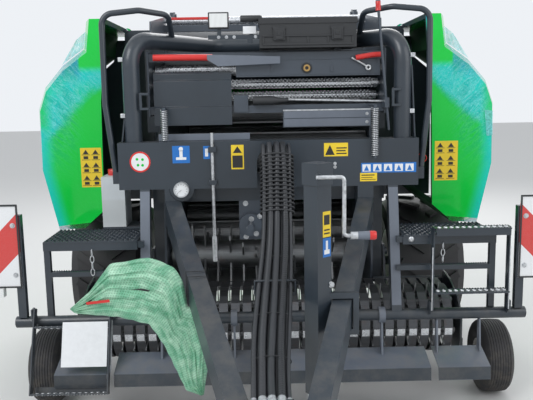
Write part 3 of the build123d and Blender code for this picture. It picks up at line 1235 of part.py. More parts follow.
# Bag hung beside the left beam, its inner edge against the beam
BAG_FRONT = -945.0
BAG_REAR = -872.0
bag_side = -beam_at(BAG_REAR)[0] - BEAM_WIDTH / 2 - SEAT
bag_under = beam_at(BAG_FRONT)[1] - BEAM_HEIGHT / 2 - SEAT
bag = plate_y(
    [
        (-883.0, 765.0),
        (-793.0, 843.0),
        (-700.0, 966.0),
        (-526.0, 993.0),
        (-421.0, 947.0),
        (bag_side, 880.0),
        (bag_side, bag_under),
        (-300.0, bag_under),
        (-256.0, 651.0),
        (-309.0, 350.0),
        (-397.0, 376.0),
        (-478.0, 587.0),
        (-540.0, 680.0),
        (-669.0, 714.0),
        (-863.0, 740.0),
    ],
    BAG_FRONT,
    BAG_REAR,
)
save("driveline_bag", bag)
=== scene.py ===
import math
import bmesh
import bpy
import numpy as np
from mathutils import Matrix, Vector


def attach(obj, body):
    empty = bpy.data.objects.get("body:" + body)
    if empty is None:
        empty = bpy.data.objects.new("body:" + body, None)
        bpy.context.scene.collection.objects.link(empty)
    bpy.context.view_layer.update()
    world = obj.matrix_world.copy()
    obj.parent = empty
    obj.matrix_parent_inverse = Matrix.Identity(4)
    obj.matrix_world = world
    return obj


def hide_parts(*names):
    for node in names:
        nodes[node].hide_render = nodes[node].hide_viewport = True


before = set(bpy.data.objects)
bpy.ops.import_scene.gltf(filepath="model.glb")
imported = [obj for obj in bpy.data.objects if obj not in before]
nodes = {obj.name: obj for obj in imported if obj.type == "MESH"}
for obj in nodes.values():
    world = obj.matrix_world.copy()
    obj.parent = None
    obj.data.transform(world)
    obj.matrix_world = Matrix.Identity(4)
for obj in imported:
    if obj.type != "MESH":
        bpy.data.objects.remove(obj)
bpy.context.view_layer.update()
scene = bpy.context.scene

# Colours, linear light
GREEN = (0.003, 0.58, 0.055)
FILM_CYAN = (0.007, 0.58, 0.58)
FILM_TEAL = (0.003, 0.3, 0.26)
FILM_BLUE = (0.007, 0.2, 0.46)
FILM_PALE = (0.3, 0.58, 0.76)
FRAME_DARK = (0.024, 0.034, 0.046)
FRAME_GREY = (0.048, 0.062, 0.082)
GUARD_GREY = (0.13, 0.152, 0.19)
SIGNAL_RED = (0.62, 0.022, 0.018)
SIGN_YELLOW = (0.86, 0.62, 0.03)
SIGN_BLUE = (0.015, 0.16, 0.52)
SIGN_WHITE = (0.8, 0.82, 0.84)
ZINC = (0.56, 0.58, 0.6)
STEEL = (0.3, 0.31, 0.32)
RUBBER = (0.018, 0.018, 0.02)
PLASTIC = (0.022, 0.024, 0.027)
MILKY = (0.62, 0.67, 0.7)
DUST = (0.3, 0.26, 0.2)
RUST = (0.17, 0.065, 0.025)
BRASS = (0.46, 0.3, 0.12)


# Finishes


class Signal:
    """One socket of a finish; arithmetic on it adds Math nodes to that finish."""

    def __init__(self, finish, socket):
        self.finish = finish
        self.socket = socket

    def maths(self, operation, *values):
        return self.finish.add("ShaderNodeMath", {"operation": operation}, values)

    def __add__(self, other):
        return self.maths("ADD", self, other)

    def __radd__(self, other):
        return self.maths("ADD", other, self)

    def __sub__(self, other):
        return self.maths("SUBTRACT", self, other)

    def __rsub__(self, other):
        return self.maths("SUBTRACT", other, self)

    def __mul__(self, other):
        return self.maths("MULTIPLY", self, other)

    def __rmul__(self, other):
        return self.maths("MULTIPLY", other, self)

    def __truediv__(self, other):
        return self.maths("DIVIDE", self, other)

    def wave(self):
        return self.maths("SINE", self)

    def size(self):
        return self.maths("ABSOLUTE", self)

    def part(self):
        return self.maths("FRACT", self)

    def step(self, low, high):
        """0 below low, 1 above high and an even S between them; low may be above high."""
        values = {"Value": self, "From Min": low, "From Max": high}
        return self.finish.add("ShaderNodeMapRange", {"interpolation_type": "SMOOTHSTEP"}, values)


class Finish:
    """A material with one glossy or rough shader, whose colour and surface come from object coordinates."""

    def __init__(self, name):
        self.material = bpy.data.materials.new(name)
        self.material.use_nodes = True
        self.tree = self.material.node_tree
        self.shader = self.tree.nodes["Principled BSDF"]
        self.place = self.add("ShaderNodeTexCoord", out="Object")

    def add(self, kind, settings=None, values=(), out=0):
        """Adds a node: its settings first, then the values or signals of its sockets."""
        node = self.tree.nodes.new(kind)
        for key, value in (settings or {}).items():
            setattr(node, key, value)
        for key, value in values.items() if isinstance(values, dict) else enumerate(values):
            self.feed(node.inputs[key], value)
        return Signal(self, node.outputs[out])

    def feed(self, socket, value):
        if isinstance(value, Signal):
            self.tree.links.new(value.socket, socket)
        elif socket.type == "RGBA":
            socket.default_value = (*value, 1.0)
        else:
            socket.default_value = value

    def axes(self, place=None):
        """Three coordinates: of the place on the surface in metres, unless another one is given."""
        first = self.add("ShaderNodeSeparateXYZ", values=(place or self.place,))
        return [Signal(self, output) for output in first.socket.node.outputs]

    def normal(self):
        """How far the surface looks along each of the three axes."""
        return self.axes(self.add("ShaderNodeNewGeometry", out="Normal"))

    def stretched(self, scale):
        """The place, drawn out along the axes whose scale is small."""
        return self.add("ShaderNodeMapping", values={"Vector": self.place, "Scale": scale})

    def noise(self, scale, detail=4.0, rough=0.5, warp=0.0, where=None):
        values = {
            "Vector": where or self.place,
            "Scale": scale,
            "Detail": detail,
            "Roughness": rough,
            "Distortion": warp,
        }
        return self.add("ShaderNodeTexNoise", values=values)

    def cells(self, scale, out="Distance", where=None):
        values = {"Vector": where or self.place, "Scale": scale}
        return self.add("ShaderNodeTexVoronoi", values=values, out=out)

    def mix(self, share, low, high):
        """The colour low where share is 0 and high where it is 1."""
        return self.add("ShaderNodeMix", {"data_type": "RGBA"}, {0: share, 6: low, 7: high}, out=2)

    def bump(self, height, depth, strength=1.0):
        values = {"Height": height, "Distance": depth, "Strength": strength}
        self.feed(self.shader.inputs["Normal"], self.add("ShaderNodeBump", values=values))

    def set(self, **values):
        for key, value in values.items():
            self.feed(self.shader.inputs[key.replace("_", " ")], value)
        return self


def shade(colour, share):
    return tuple(min(1.0, c * share) for c in colour)


def paint(name, colour, rough=0.35, dust=0.25, peel=0.4, coat=0.25):
    """Sprayed paint: slight orange peel, a little unevenness, dust on what faces up and near the ground."""
    finish = Finish(name)
    z = finish.axes()[2]
    patches = finish.noise(2.3, 5.0, 0.6)
    specks = finish.noise(140.0, 2.0, 0.7)
    body = finish.mix(patches.step(0.3, 0.75), shade(colour, 0.86), shade(colour, 1.16))
    low = z.step(0.9, 0.05) * 0.8
    level = finish.normal()[2].step(0.2, 0.95)
    settled = (level * 0.55 + low) * finish.noise(9.0, 6.0, 0.7).step(0.35, 0.75) * dust
    finish.set(Base_Color=finish.mix(settled, body, DUST))
    finish.set(Roughness=(patches * 0.1 + specks * 0.06 + (rough - 0.06)) + settled * 0.5)
    finish.set(Coat_Weight=coat, Coat_Roughness=0.12)
    finish.bump(finish.noise(260.0, 1.0), 0.0004, peel)
    return finish.material


def zinc_coat(name, colour=ZINC, rough=0.34):
    """Galvanised steel: crystal spangle, dull grey bloom and fine scratches."""
    finish = Finish(name)
    grain = finish.axes(finish.cells(85.0, "Color"))[0]
    bloom = finish.noise(12.0, 5.0, 0.65)
    body = finish.mix(grain * 0.6 + bloom * 0.4, shade(colour, 0.7), shade(colour, 1.22))
    finish.set(Base_Color=body, Metallic=0.85)
    finish.set(Roughness=grain * 0.16 + bloom * 0.12 + (rough - 0.1))
    finish.bump(finish.noise(300.0, 2.0) + grain * 0.3, 0.0003, 0.4)
    return finish.material


def worn_steel(name, colour=STEEL, rust=0.35, shine=0.32):
    """Bare steel worn bright along X, with thin rust in patches."""
    finish = Finish(name)
    lines = finish.noise(30.0, 3.0, 0.6, where=finish.stretched((0.05, 8.0, 8.0)))
    spots = finish.noise(16.0, 8.0, 0.75).step(0.52, 0.72) * rust
    body = finish.mix(lines, shade(colour, 0.65), shade(colour, 1.35))
    finish.set(Base_Color=finish.mix(spots, body, RUST))
    finish.set(Metallic=0.9 - spots * 0.8, Roughness=lines * 0.18 + spots * 0.4 + shine)
    finish.bump(lines + spots, 0.0006, 0.5)
    return finish.material


def plastic(name, colour, rough=0.5, grain=900.0, depth=0.00025):
    """Moulded plastic with a fine leather-like grain and pale scuffs."""
    finish = Finish(name)
    scuffs = finish.noise(40.0, 6.0, 0.8, 0.6).step(0.62, 0.78)
    broad = finish.noise(4.0, 3.0)
    body = finish.mix(broad, shade(colour, 0.85), shade(colour, 1.2))
    finish.set(Base_Color=finish.mix(scuffs * 0.25, body, shade(colour, 2.4)))
    finish.set(Roughness=broad * 0.12 + (rough - 0.06) + scuffs * 0.1)
    finish.bump(finish.cells(grain), depth, 0.6)
    return finish.material


def rubber(name, colour=RUBBER, dusty=0.35):
    """Tyre rubber: fine grain, brown dust in the low parts and a grey bloom."""
    finish = Finish(name)
    z = finish.axes()[2]
    bloom = finish.noise(7.0, 6.0, 0.7)
    dirt = z.step(0.55, 0.0) * finish.noise(24.0, 6.0, 0.75).step(0.4, 0.7) * dusty
    body = finish.mix(bloom, shade(colour, 0.8), shade(colour, 2.0))
    finish.set(Base_Color=finish.mix(dirt, body, shade(DUST, 0.7)))
    finish.set(Roughness=bloom * 0.15 + 0.55 + dirt * 0.2)
    finish.bump(finish.noise(420.0, 3.0), 0.0004, 0.6)
    return finish.material


def hose_skin(name):
    """Smooth hose cover: near black with a soft sheen, faint lines along it and grey bloom."""
    finish = Finish(name)
    bloom = finish.noise(9.0, 6.0, 0.7)
    lines = finish.noise(40.0, 3.0, 0.6, where=finish.stretched((6.0, 0.4, 0.4)))
    body = finish.mix(bloom * 0.6 + lines * 0.4, (0.014, 0.016, 0.019), (0.05, 0.054, 0.062))
    finish.set(Base_Color=body)
    finish.set(Roughness=bloom * 0.16 + 0.3)
    finish.bump(lines, 0.0004, 0.4)
    return finish.material


def stripes(name):
    """Red and white bars at 45 degrees that fall outward on each side, on a fine reflective honeycomb."""
    finish = Finish(name)
    x, _, z = finish.axes()
    red = ((x.size() + z + 0.045) / 0.4).part().step(0.498, 0.502)
    comb = finish.cells(420.0)
    wear = finish.noise(30.0, 5.0, 0.7).step(0.6, 0.8)
    body = finish.mix(red, SIGN_WHITE, SIGNAL_RED)
    finish.set(Base_Color=finish.mix(comb * 0.25 + wear * 0.1, body, (0.35, 0.33, 0.32)))
    finish.set(Roughness=comb * 0.3 + 0.22)
    finish.bump(comb, 0.0002, 0.5)
    return finish.material


def lens(name, colour, ribs=160.0):
    """A lamp lens with moulded ribs under a glossy skin."""
    finish = Finish(name)
    rib = (finish.axes()[0] * (ribs * 6.28)).wave() * 0.5 + 0.5
    finish.set(Base_Color=finish.mix(rib, shade(colour, 0.7), shade(colour, 1.1)))
    finish.set(Roughness=rib * 0.1 + 0.08, Coat_Weight=0.6)
    finish.bump(rib, 0.0006, 0.6)
    return finish.material


def rear_lens(name):
    """Rear lamps: an amber, a red and a clear field from outside in, with dark seams between them."""
    finish = Finish(name)
    x, y, z = finish.axes()
    side = x.size()
    rib = (z * (150.0 * 6.28)).wave() * 0.5 + 0.5
    body = finish.mix(side.step(0.4545, 0.4555), (0.78, 0.8, 0.8), (0.5, 0.02, 0.015))
    body = finish.mix(side.step(0.5445, 0.5455), body, (0.8, 0.27, 0.01))
    seam = (side - 0.455).size().step(0.0035, 0.002)
    seam = seam + (side - 0.545).size().step(0.0035, 0.002)
    rim = (z - 1.04).size().step(0.0385, 0.0405) + y.step(1.934, 1.93)
    dark = seam.maths("MAXIMUM", seam, rim).step(0.4, 0.6)
    body = finish.mix(rib * 0.3, body, (0.25, 0.22, 0.2))
    finish.set(Base_Color=finish.mix(dark, body, (0.02, 0.02, 0.02)))
    finish.set(Roughness=rib * 0.1 + 0.1 + dark * 0.3, Coat_Weight=0.5)
    finish.bump(rib * (1 - dark), 0.0006, 0.6)
    return finish.material


def flat_sign(name, colour, rough=0.32):
    """Printed sticker: even colour, faint mottling and slightly lifted patches."""
    finish = Finish(name)
    mottle = finish.noise(35.0, 4.0, 0.6)
    finish.set(Base_Color=finish.mix(mottle, shade(colour, 0.88), shade(colour, 1.05)))
    finish.set(Roughness=mottle * 0.12 + (rough - 0.06))
    finish.bump(finish.noise(90.0, 2.0), 0.0002, 0.4)
    return finish.material


def milky_plastic(name):
    """Blow-moulded tank: pale, slightly uneven, with a darker fill up to the level of the oil."""
    finish = Finish(name)
    z = finish.axes()[2]
    cloud = finish.noise(8.0, 4.0, 0.6)
    filled = z.step(1.12, 1.1)
    body = finish.mix(cloud, shade(MILKY, 0.9), shade(MILKY, 1.12))
    finish.set(Base_Color=finish.mix(filled * 0.35, body, (0.5, 0.52, 0.5)))
    finish.set(Roughness=cloud * 0.1 + 0.3)
    finish.bump(finish.noise(60.0, 3.0), 0.0005, 0.4)
    return finish.material


def green_skin(name):
    """The doors' paint: glossy green, with faint long waves in the sheet and dust along the foot."""
    finish = Finish(name)
    z = finish.axes()[2]
    waves = finish.noise(1.6, 3.0, 0.5)
    body = finish.mix(waves.step(0.3, 0.7), shade(GREEN, 0.88), shade(GREEN, 1.12))
    dust = z.step(1.15, 0.85) * finish.noise(18.0, 7.0, 0.75).step(0.5, 0.8) * 0.3
    finish.set(Base_Color=finish.mix(dust, body, DUST))
    finish.set(Roughness=waves * 0.08 + 0.2 + dust, Coat_Weight=0.5, Coat_Roughness=0.06)
    finish.bump(finish.noise(6.0, 2.0) + finish.noise(300.0, 1.0) * 0.02, 0.004, 0.35)
    return finish.material


def film_skin(name):
    """Shipping film on the green doors: cyan creases on the shoulder, a clear tab, a pale outer edge."""
    finish = Finish(name)
    x, y, z = finish.axes()
    side = x.size()
    slanted = finish.add("ShaderNodeCombineXYZ", values=((side + z) * 1.5, (z - side) * 9.0, y * 3.0))
    streaks = finish.noise(2.6, 8.0, 0.68, 0.9, where=slanted)
    crumple = finish.noise(17.0, 7.0, 0.7, 1.8)
    broad = finish.noise(5.0, 4.0, 0.6)
    veins = finish.noise(9.0, 6.0, 0.7, 2.6)
    creases = (streaks - 0.5).size().step(0.026, 0.0) * 0.7
    creases = creases + (crumple - 0.5).size().step(0.018, 0.0) * 0.5
    creases = creases + (veins - 0.5).size().step(0.014, 0.0) * 0.7
    lower_edge = z + side * 0.887 - 2.519 + (broad - 0.5) * 0.16
    tab = z.step(1.79, 1.84) * side.step(1.035, 1.018)
    outer = side.step(1.17, 1.24) * z.step(1.78, 1.68) * 0.75
    film = lower_edge.step(-0.03, 0.05) * (1 - tab) * (1 - outer) * y.step(0.6, 0.28)
    shoulder = z.step(1.72, 1.84) * side.step(1.0, 1.04)
    body = finish.mix(film * (broad.step(0.25, 0.6) * 0.3 + 0.6), GREEN, FILM_CYAN)
    stain = finish.mix(broad.step(0.45, 0.6), FILM_TEAL, FILM_BLUE)
    body = finish.mix(film * shoulder * 0.8, body, stain)
    veil = lower_edge.step(-0.34, 0.0) * side.step(1.0, 1.1) * (1 - tab)
    body = finish.mix(veil * streaks.step(0.4, 0.62) * 0.35, body, FILM_TEAL)
    under = 1.26 - z
    edge = (1.252 - under.maths("MAXIMUM", under, 0.0) * 0.219) - side
    low = z.step(1.54, 1.46)
    body = finish.mix(edge.step(0.085, 0.0) * low * y.step(0.34, 0.14) * 0.75, body, FILM_CYAN)
    rim = y.step(0.052, 0.064) * y.step(0.26, 0.2) * side.step(1.14, 1.17) * low
    body = finish.mix(rim * 0.9, body, FILM_PALE)
    inner = side.step(0.905, 0.885) * z.step(1.74, 1.8)
    body = finish.mix(inner * broad.step(0.35, 0.6) * 0.8, body, FILM_BLUE)
    shown = (film * 0.42 + veil * 0.12 + rim * 0.4 + 0.02) * creases
    body = finish.mix(shown * 0.75, body, (0.4, 0.88, 0.9))
    # Painted shade: faces turned in towards the chamber are made near black, dull and without coat
    shaded_inner_face = (finish.normal()[0] * x).step(-0.1, -0.35)
    finish.set(Base_Color=finish.mix(shaded_inner_face * 0.92, body, (0.012, 0.022, 0.02)))
    finish.set(Roughness=crumple * 0.16 + shaded_inner_face * 0.6 + 0.1, Specular_IOR_Level=0.25)
    finish.set(Coat_Weight=0.35 - shaded_inner_face * 0.35, Coat_Roughness=0.07)
    folded = film * 0.9 + veil * 0.2 + rim * 0.5 + 0.04
    finish.bump((streaks * 0.7 + crumple * 0.4) * folded, 0.008, 0.8)
    return finish.material


def clear_film(name):
    """Loose clear film: milky where it is creased, else see-through."""
    finish = Finish(name)
    crease = finish.noise(40.0, 6.0, 0.7, 1.5)
    finish.set(Base_Color=(0.22, 0.68, 0.7), Roughness=0.15)
    finish.set(Alpha=crease.step(0.35, 0.7) * 0.45 + 0.4)
    finish.bump(crease, 0.004, 0.8)
    return finish.material


def net_weave(name):
    """Green knitted net: fine slanting threads, see-through between them, with random pale patches that are
    partly its paler tone and partly painted highlight.
    """
    finish = Finish(name)
    u, v, _ = finish.axes(finish.add("ShaderNodeUVMap"))
    warp = ((u * 420.0 + v * 160.0).wave() * 0.5 + 0.5).step(0.25, 0.75)
    weft = ((v * 760.0 - u * 60.0).wave() * 0.5 + 0.5).step(0.3, 0.8)
    thread = warp.maths("MAXIMUM", warp, weft)
    bloom = finish.noise(14.0, 6.0, 0.7)
    # Painted highlight in part: the pale colour of the patches is the net's paler tone, lifted to stand in
    # for light on it
    body = finish.mix(bloom.step(0.35, 0.7), (0.15, 0.46, 0.28), (0.5, 0.8, 0.6))
    finish.set(Base_Color=body, Roughness=bloom * 0.2 + 0.35)
    finish.set(Alpha=thread * 0.3 + 0.62)
    finish.bump(thread + bloom, 0.0015, 0.7)
    return finish.material


# Shapes: each is (points, list of face arrays), in metres
RIGHT, FRONT, UP = (1, 0, 0), (0, -1, 0), (0, 0, 1)
FULL_TURN = 2 * math.pi
SIDES = (("left", -1), ("right", 1))
MERGE_WITHIN = 2e-6
# Lifts off a face: of a sticker's back, of its front, and of the print on it
STICKER_BACK, STICKER_FRONT, PRINT_FRONT = 0.0001, 0.0008, 0.0014
TOOTH_FOOT = 0.6


def unit(vectors):
    vectors = np.asarray(vectors, float)
    return vectors / np.linalg.norm(vectors, axis=-1, keepdims=True)


def turns(count):
    """Even steps once round, in radians."""
    return np.linspace(0.0, FULL_TURN, count, endpoint=False)


def circle(turn, side, other):
    """The cosine of the turn along one direction and its sine along the other."""
    return np.cos(turn) * side + np.sin(turn) * other


def square_to(axis):
    """Two directions square to an axis and to each other."""
    side = unit(np.cross(axis, np.eye(3)[int(np.argmin(np.abs(axis)))]))
    return side, np.cross(axis, side)


def joined(*shapes):
    """Several shapes as one, their point numbers shifted."""
    points, faces, start = [], [], 0
    for some_points, some_faces in shapes:
        points.append(some_points)
        faces.extend(face + start for face in some_faces)
        start += len(some_points)
    return np.vstack(points), faces


def flipped(shape):
    """The same shape mirrored left to right; its faces are turned right again when the piece is made."""
    return shape[0] * np.array((-1.0, 1.0, 1.0)), shape[1]


def repeated(shape, offsets):
    """One shape at each of many offsets, worked out as one array."""
    offsets = np.asarray(offsets, float)
    points = (shape[0][None] + offsets[:, None]).reshape(-1, 3)
    starts = (np.arange(len(offsets)) * len(shape[0]))[:, None, None]
    return points, [(face[None] + starts).reshape(-1, face.shape[1]) for face in shape[1]]


def tilted(shape, pivot, degrees):
    """The shape turned about a line along X through the pivot (y, z)."""
    c, s = math.cos(math.radians(degrees)), math.sin(math.radians(degrees))
    x, y, z = shape[0].T
    return np.stack((x, pivot[0] + y * c - z * s, pivot[1] + y * s + z * c), axis=1), shape[1]


def sheet_grid(points, close_rows=False, close_columns=False):
    """Square faces between the rows and columns of a grid of points (rows, columns, 3)."""
    rows, columns = points.shape[:2]
    i = np.arange(rows if close_rows else rows - 1)
    j = np.arange(columns if close_columns else columns - 1)
    i, j = (index.ravel() for index in np.meshgrid(i, j, indexing="ij"))
    i2, j2 = (i + 1) % rows, (j + 1) % columns
    corners = (i * columns + j, i * columns + j2, i2 * columns + j2, i2 * columns + j)
    return points.reshape(-1, 3), [np.stack(corners, axis=1)]


def skinned(rings, close=False):
    """A surface over rings of points, with a flat face at each end unless it closes on itself."""
    points, faces = sheet_grid(rings, close_rows=close, close_columns=True)
    if not close:
        end = np.arange(rings.shape[1])[None]
        faces = faces + [end[:, ::-1], end + len(points) - rings.shape[1]]
    return points, faces


def resampled(line, count=0, spacing=1.0):
    """The same line with even points, so many or so far apart, and their distances along it."""
    line = np.asarray(line, float)
    lengths = np.concatenate(([0.0], np.cumsum(np.linalg.norm(np.diff(line, axis=0), axis=1))))
    at = np.linspace(0.0, lengths[-1], count or max(3, int(lengths[-1] / spacing)))
    return np.stack([np.interp(at, lengths, line[:, k]) for k in range(3)], axis=1), at


def smooth_line(points, count, passes):
    """A line through given points, evenly spaced and then averaged with its neighbours several times."""
    line = resampled(points, count)[0]
    for _ in range(passes):
        line[1:-1] = (line[:-2] + 2.0 * line[1:-1] + line[2:]) / 4.0
    return line


def route(points, resolution=20):
    """The points of a smooth spline (order 3) that has the given points as its control points."""
    curve = bpy.data.curves.new("route", "CURVE")
    curve.dimensions = "3D"
    spline = curve.splines.new("NURBS")
    spline.points.add(len(points) - 1)
    spline.points.foreach_set("co", [value for point in points for value in (*point, 1.0)])
    spline.order_u = 3
    spline.use_endpoint_u = True
    spline.resolution_u = resolution
    holder = bpy.data.objects.new("route", curve)
    mesh = bpy.data.meshes.new_from_object(holder)
    line = np.empty(len(mesh.vertices) * 3)
    mesh.vertices.foreach_get("co", line)
    bpy.data.objects.remove(holder)
    bpy.data.curves.remove(curve)
    bpy.data.meshes.remove(mesh)
    return line.reshape(-1, 3)


def tube(line, radius, sides=10, close=False):
    """A ring of points round each point of a line: radius times the cosine and sine of an even turn."""
    line = np.asarray(line, float)
    run = unit(np.roll(line, -1, axis=0) - np.roll(line, 1, axis=0) if close else np.gradient(line, axis=0))
    across = unit(np.cross(run, np.eye(3)[int(np.argmin(np.ptp(line, axis=0)))]))
    over = np.cross(run, across)
    reach = np.broadcast_to(np.asarray(radius, float), (len(line),))[:, None, None]
    rings = line[:, None] + reach * circle(turns(sides)[:, None], across[:, None], over[:, None])
    return skinned(rings, close)


def ring_loop(centre, axis, radius, wire, count=28, sides=8, squash=(1.0, 1.0)):
    """A closed wire ring: a circle, or an oval, in the plane square to the axis."""
    side, other = square_to(unit(axis))
    line = np.asarray(centre) + radius * circle(turns(count)[:, None], squash[0] * side, squash[1] * other)
    return tube(line, wire, sides, close=True)


def chain(start, end, link=0.036, wire=0.0028):
    """A hanging chain: long links along a line, each turned a quarter from the last."""
    start, end = np.asarray(start, float), np.asarray(end, float)
    count = max(2, int(np.linalg.norm(end - start) / (link * 0.8)))
    loops = []
    for k in range(count):
        centre = start + (end - start) * (k + 0.5) / count
        axis = (0.0, 1.0, 0.0) if k % 2 else (1.0, 0.0, 0.0)
        loops.append(ring_loop(centre, axis, link / 2, wire, 18, 8, (1.0, 0.5)))
    return joined(*loops)


def helix(start, end, radius, wire, coils, per_coil=14, sides=7):
    """A coil spring: a circle of the given radius that moves along the line from start to end."""
    start, end = np.asarray(start, float), np.asarray(end, float)
    axis = unit(end - start)
    side = unit(np.cross(axis, (0.0, 1.0, 0.1)))
    t = np.linspace(0.0, 1.0, int(coils * per_coil))[:, None]
    out = circle(t * coils * FULL_TURN, side, np.cross(axis, side))
    line = start + (end - start) * t + radius * out
    over = np.cross(unit(np.gradient(line, axis=0)), out)
    return skinned(line[:, None] + wire * circle(turns(sides)[:, None], out[:, None], over[:, None]))


def ribbed(line, radius, depth=0.0011, pitch=0.008, sides=14):
    """A corrugated sleeve: the radius rises and falls as a cosine of the length along the line."""
    line, at = resampled(line, spacing=pitch / 4)
    return tube(line, radius + depth * np.cos(at * FULL_TURN / pitch), sides)


def wound(line, radius, wire, pitch, sides=6):
    """A wire wound round a line: a circle that turns once in each pitch, carried along it."""
    line, at = resampled(line, spacing=pitch / 14)
    run = unit(np.gradient(line, axis=0))
    across = unit(np.cross(run, RIGHT))
    turn = (at * FULL_TURN / pitch)[:, None]
    return tube(line + radius * circle(turn, across, np.cross(run, across)), wire, sides)


def lathe(profile, centre, axis, sides=24):
    """A profile of (radius, distance along the axis) turned round the axis through the centre."""
    profile = np.asarray(profile, float)
    axis = unit(axis)
    ring = circle(turns(sides)[:, None], *square_to(axis))
    grid = np.asarray(centre, float) + profile[:, None, :1] * ring[None] + profile[:, None, 1:] * axis
    return sheet_grid(grid, close_columns=True)


def prism(outline, along, low, high):
    """A flat outline in the plane square to one axis, carried from low to high along that axis."""
    count = len(outline)
    points = np.empty((2 * count, 3))
    others = [k for k in range(3) if k != along]
    for start, level in ((0, low), (count, high)):
        points[start : start + count, along] = level
        points[start : start + count, others] = outline
    k = np.arange(count)
    k2 = (k + 1) % count
    walls = np.stack((k, k2, k2 + count, k + count), axis=1)
    return points, [walls, k[None, ::-1], k[None] + count]


def crate(x0, x1, y0, y1, z0, z1):
    return prism([(x0, y0), (x1, y0), (x1, y1), (x0, y1)], 2, z0, z1)


def slabs(low, high, *spans):
    """Crates of one depth, from low to high along Y, each with its x and z from and to."""
    return joined(*(crate(x0, x1, low, high, z0, z1) for x0, x1, z0, z1 in spans))


def plate(span, y):
    """A sticker on a face at y."""
    return slabs(y - STICKER_FRONT, y - STICKER_BACK, span)


def triangle(x0, x1, z0, z1, low, high):
    return prism([(x0, z0), (x1, z0), ((x0 + x1) / 2, z1)], 1, low, high)


def zigzag(x0, x1, y, z, pitch, height, thick):
    """A toothed strip along X: its free edge goes up and down in a straight saw."""
    count = max(2, int(round((x1 - x0) / pitch)) * 2)
    foot = np.array((x0, y, z)) + np.array((x1 - x0, 0.0, 0.0)) * np.linspace(0.0, 1.0, count + 1)[:, None]
    lift = np.array((0.0, 0.0, height))
    tips = foot + lift * (np.arange(count + 1) % 2)[:, None]
    low = foot - lift * TOOTH_FOOT
    through = np.array((0.0, -thick, 0.0))
    return skinned(np.stack((low, tips, tips + through, low + through), axis=1))


def bolts(places, axis, radius, height):
    """Hexagon heads on washers: the same small lathe with six sides at every place."""
    head = [(0.0, height), (0.85 * radius, height), (radius, 0.75 * height), (radius, 0.001)]
    washer = [(0.0, 0.0015), (1.45 * radius, 0.0015), (1.45 * radius, -0.001), (0.0, -0.001)]
    return repeated(joined(lathe(head, (0, 0, 0), axis, 6), lathe(washer, (0, 0, 0), axis, 12)), places)


def places_round(x, centre, radius, count, first=0.0):
    """Places on a circle square to X, for wheel nuts."""
    y, z = centre
    return [(x, y + radius * math.cos(a), z + radius * math.sin(a)) for a in turns(count) + first]


def patch(corners, rows, columns, folds, depth, seed):
    """A sheet between four corners, lifted off its plane by sums of sines of the places along its edges."""
    a, b, c, d = corners
    u = np.linspace(0.0, 1.0, rows)[:, None, None]
    v = np.linspace(0.0, 1.0, columns)[None, :, None]
    flat = (1 - u) * ((1 - v) * a + v * b) + u * ((1 - v) * d + v * c)
    normal = unit(np.cross(b - a, d - a))
    phase = np.random.default_rng(seed).uniform(0, FULL_TURN, 6)
    lift = np.zeros((rows, columns, 1))
    for k in range(3):
        lift = lift + np.sin(folds * (k + 1) * math.pi * v + phase[k] + 2.4 * u) / (k + 1)
        lift = lift + 0.5 * np.sin((k + 2) * math.pi * u + phase[k + 3] + 1.7 * v) / (k + 1)
    points, faces = sheet_grid(flat + normal * depth * lift)
    return points, faces, np.concatenate(np.broadcast_arrays(u, v), axis=2).reshape(-1, 2)


# Finishes of the construction
finishes = {
    "green": green_skin("door_green"),
    "dark": paint("frame_dark", FRAME_DARK, 0.36),
    "grey": paint("frame_grey", FRAME_GREY, 0.38),
    "guard": paint("guard_grey", GUARD_GREY, 0.42),
    "red": paint("signal_red", SIGNAL_RED, 0.3, 0.1),
    "zinc": zinc_coat("zinc"),
    "bright": zinc_coat("bright_roller", (0.74, 0.76, 0.79), 0.26),
    "steel": worn_steel("worn_steel"),
    "bands": worn_steel("band_steel", (0.13, 0.135, 0.145), 0.25, 0.38),
    "chrome": worn_steel("chrome_rod", (0.62, 0.63, 0.65), 0.0, 0.06),
    "rubber": rubber("tyre_rubber"),
    "hose": hose_skin("hose_rubber"),
    "plastic": plastic("black_plastic", PLASTIC),
    "milky": milky_plastic("tank_milky"),
    "rim": paint("rim_white", (0.55, 0.55, 0.53), 0.4, 0.6),
    "stripes": stripes("board_stripes"),
    "lamp": lens("lamp_red", (0.5, 0.02, 0.015)),
    "rear": rear_lens("rear_lamp_fields"),
    "marker": lens("marker_clear", (0.8, 0.82, 0.82)),
    "film": film_skin("door_film"),
    "loose_film": clear_film("loose_film"),
    "net": net_weave("net_weave"),
    "yellow": flat_sign("sign_yellow", SIGN_YELLOW),
    "blue": flat_sign("sign_blue", SIGN_BLUE),
    "white": flat_sign("sign_white", SIGN_WHITE),
    "print": flat_sign("sign_print", (0.02, 0.02, 0.02)),
    "brass": worn_steel("brass", BRASS, 0.0, 0.3),
}
NODE_FINISH = {
    "green": "tailgate_wrap tailgate_covers",
    "film": "side_door_left side_door_right",
    "dark": "chassis_rails axle chamber_cover headstock cross_member drawbar_beams drawbar_head guard_tube "
    "handrails step_frame tank_shelf board_arms door_arms jack_tube pickup_frame lamp_bar ram_barrel_left "
    "ram_barrel_right decks ladder_left ladder_right",
    "grey": "chamber_walls net_frame gearbox tailgate_walls",
    "guard": "crop_guides wind_guard",
    "steel": "front_rollers feed_floor hitch_eye pickup_reel feed_rotor tailgate_rollers",
    "zinc": "jack_crank jack_leg",
    "bright": "net_rollers",
    "bands": "stripper_bands",
    "chrome": "ram_rod_left ram_rod_right",
    "rubber": "tyre_left tyre_right gauge_tyre_left gauge_tyre_right",
    "hose": "hose_bundle",
    "plastic": "toolbox toolbox_lid",
    "milky": "oil_tank",
    "rim": "rim_left rim_right gauge_rim_left gauge_rim_right",
    "stripes": "warning_boards",
    "rear": "rear_lamps",
    "marker": "marker_lamps",
    "net": "driveline_bag",
    "white": "pressure_gauge",
}
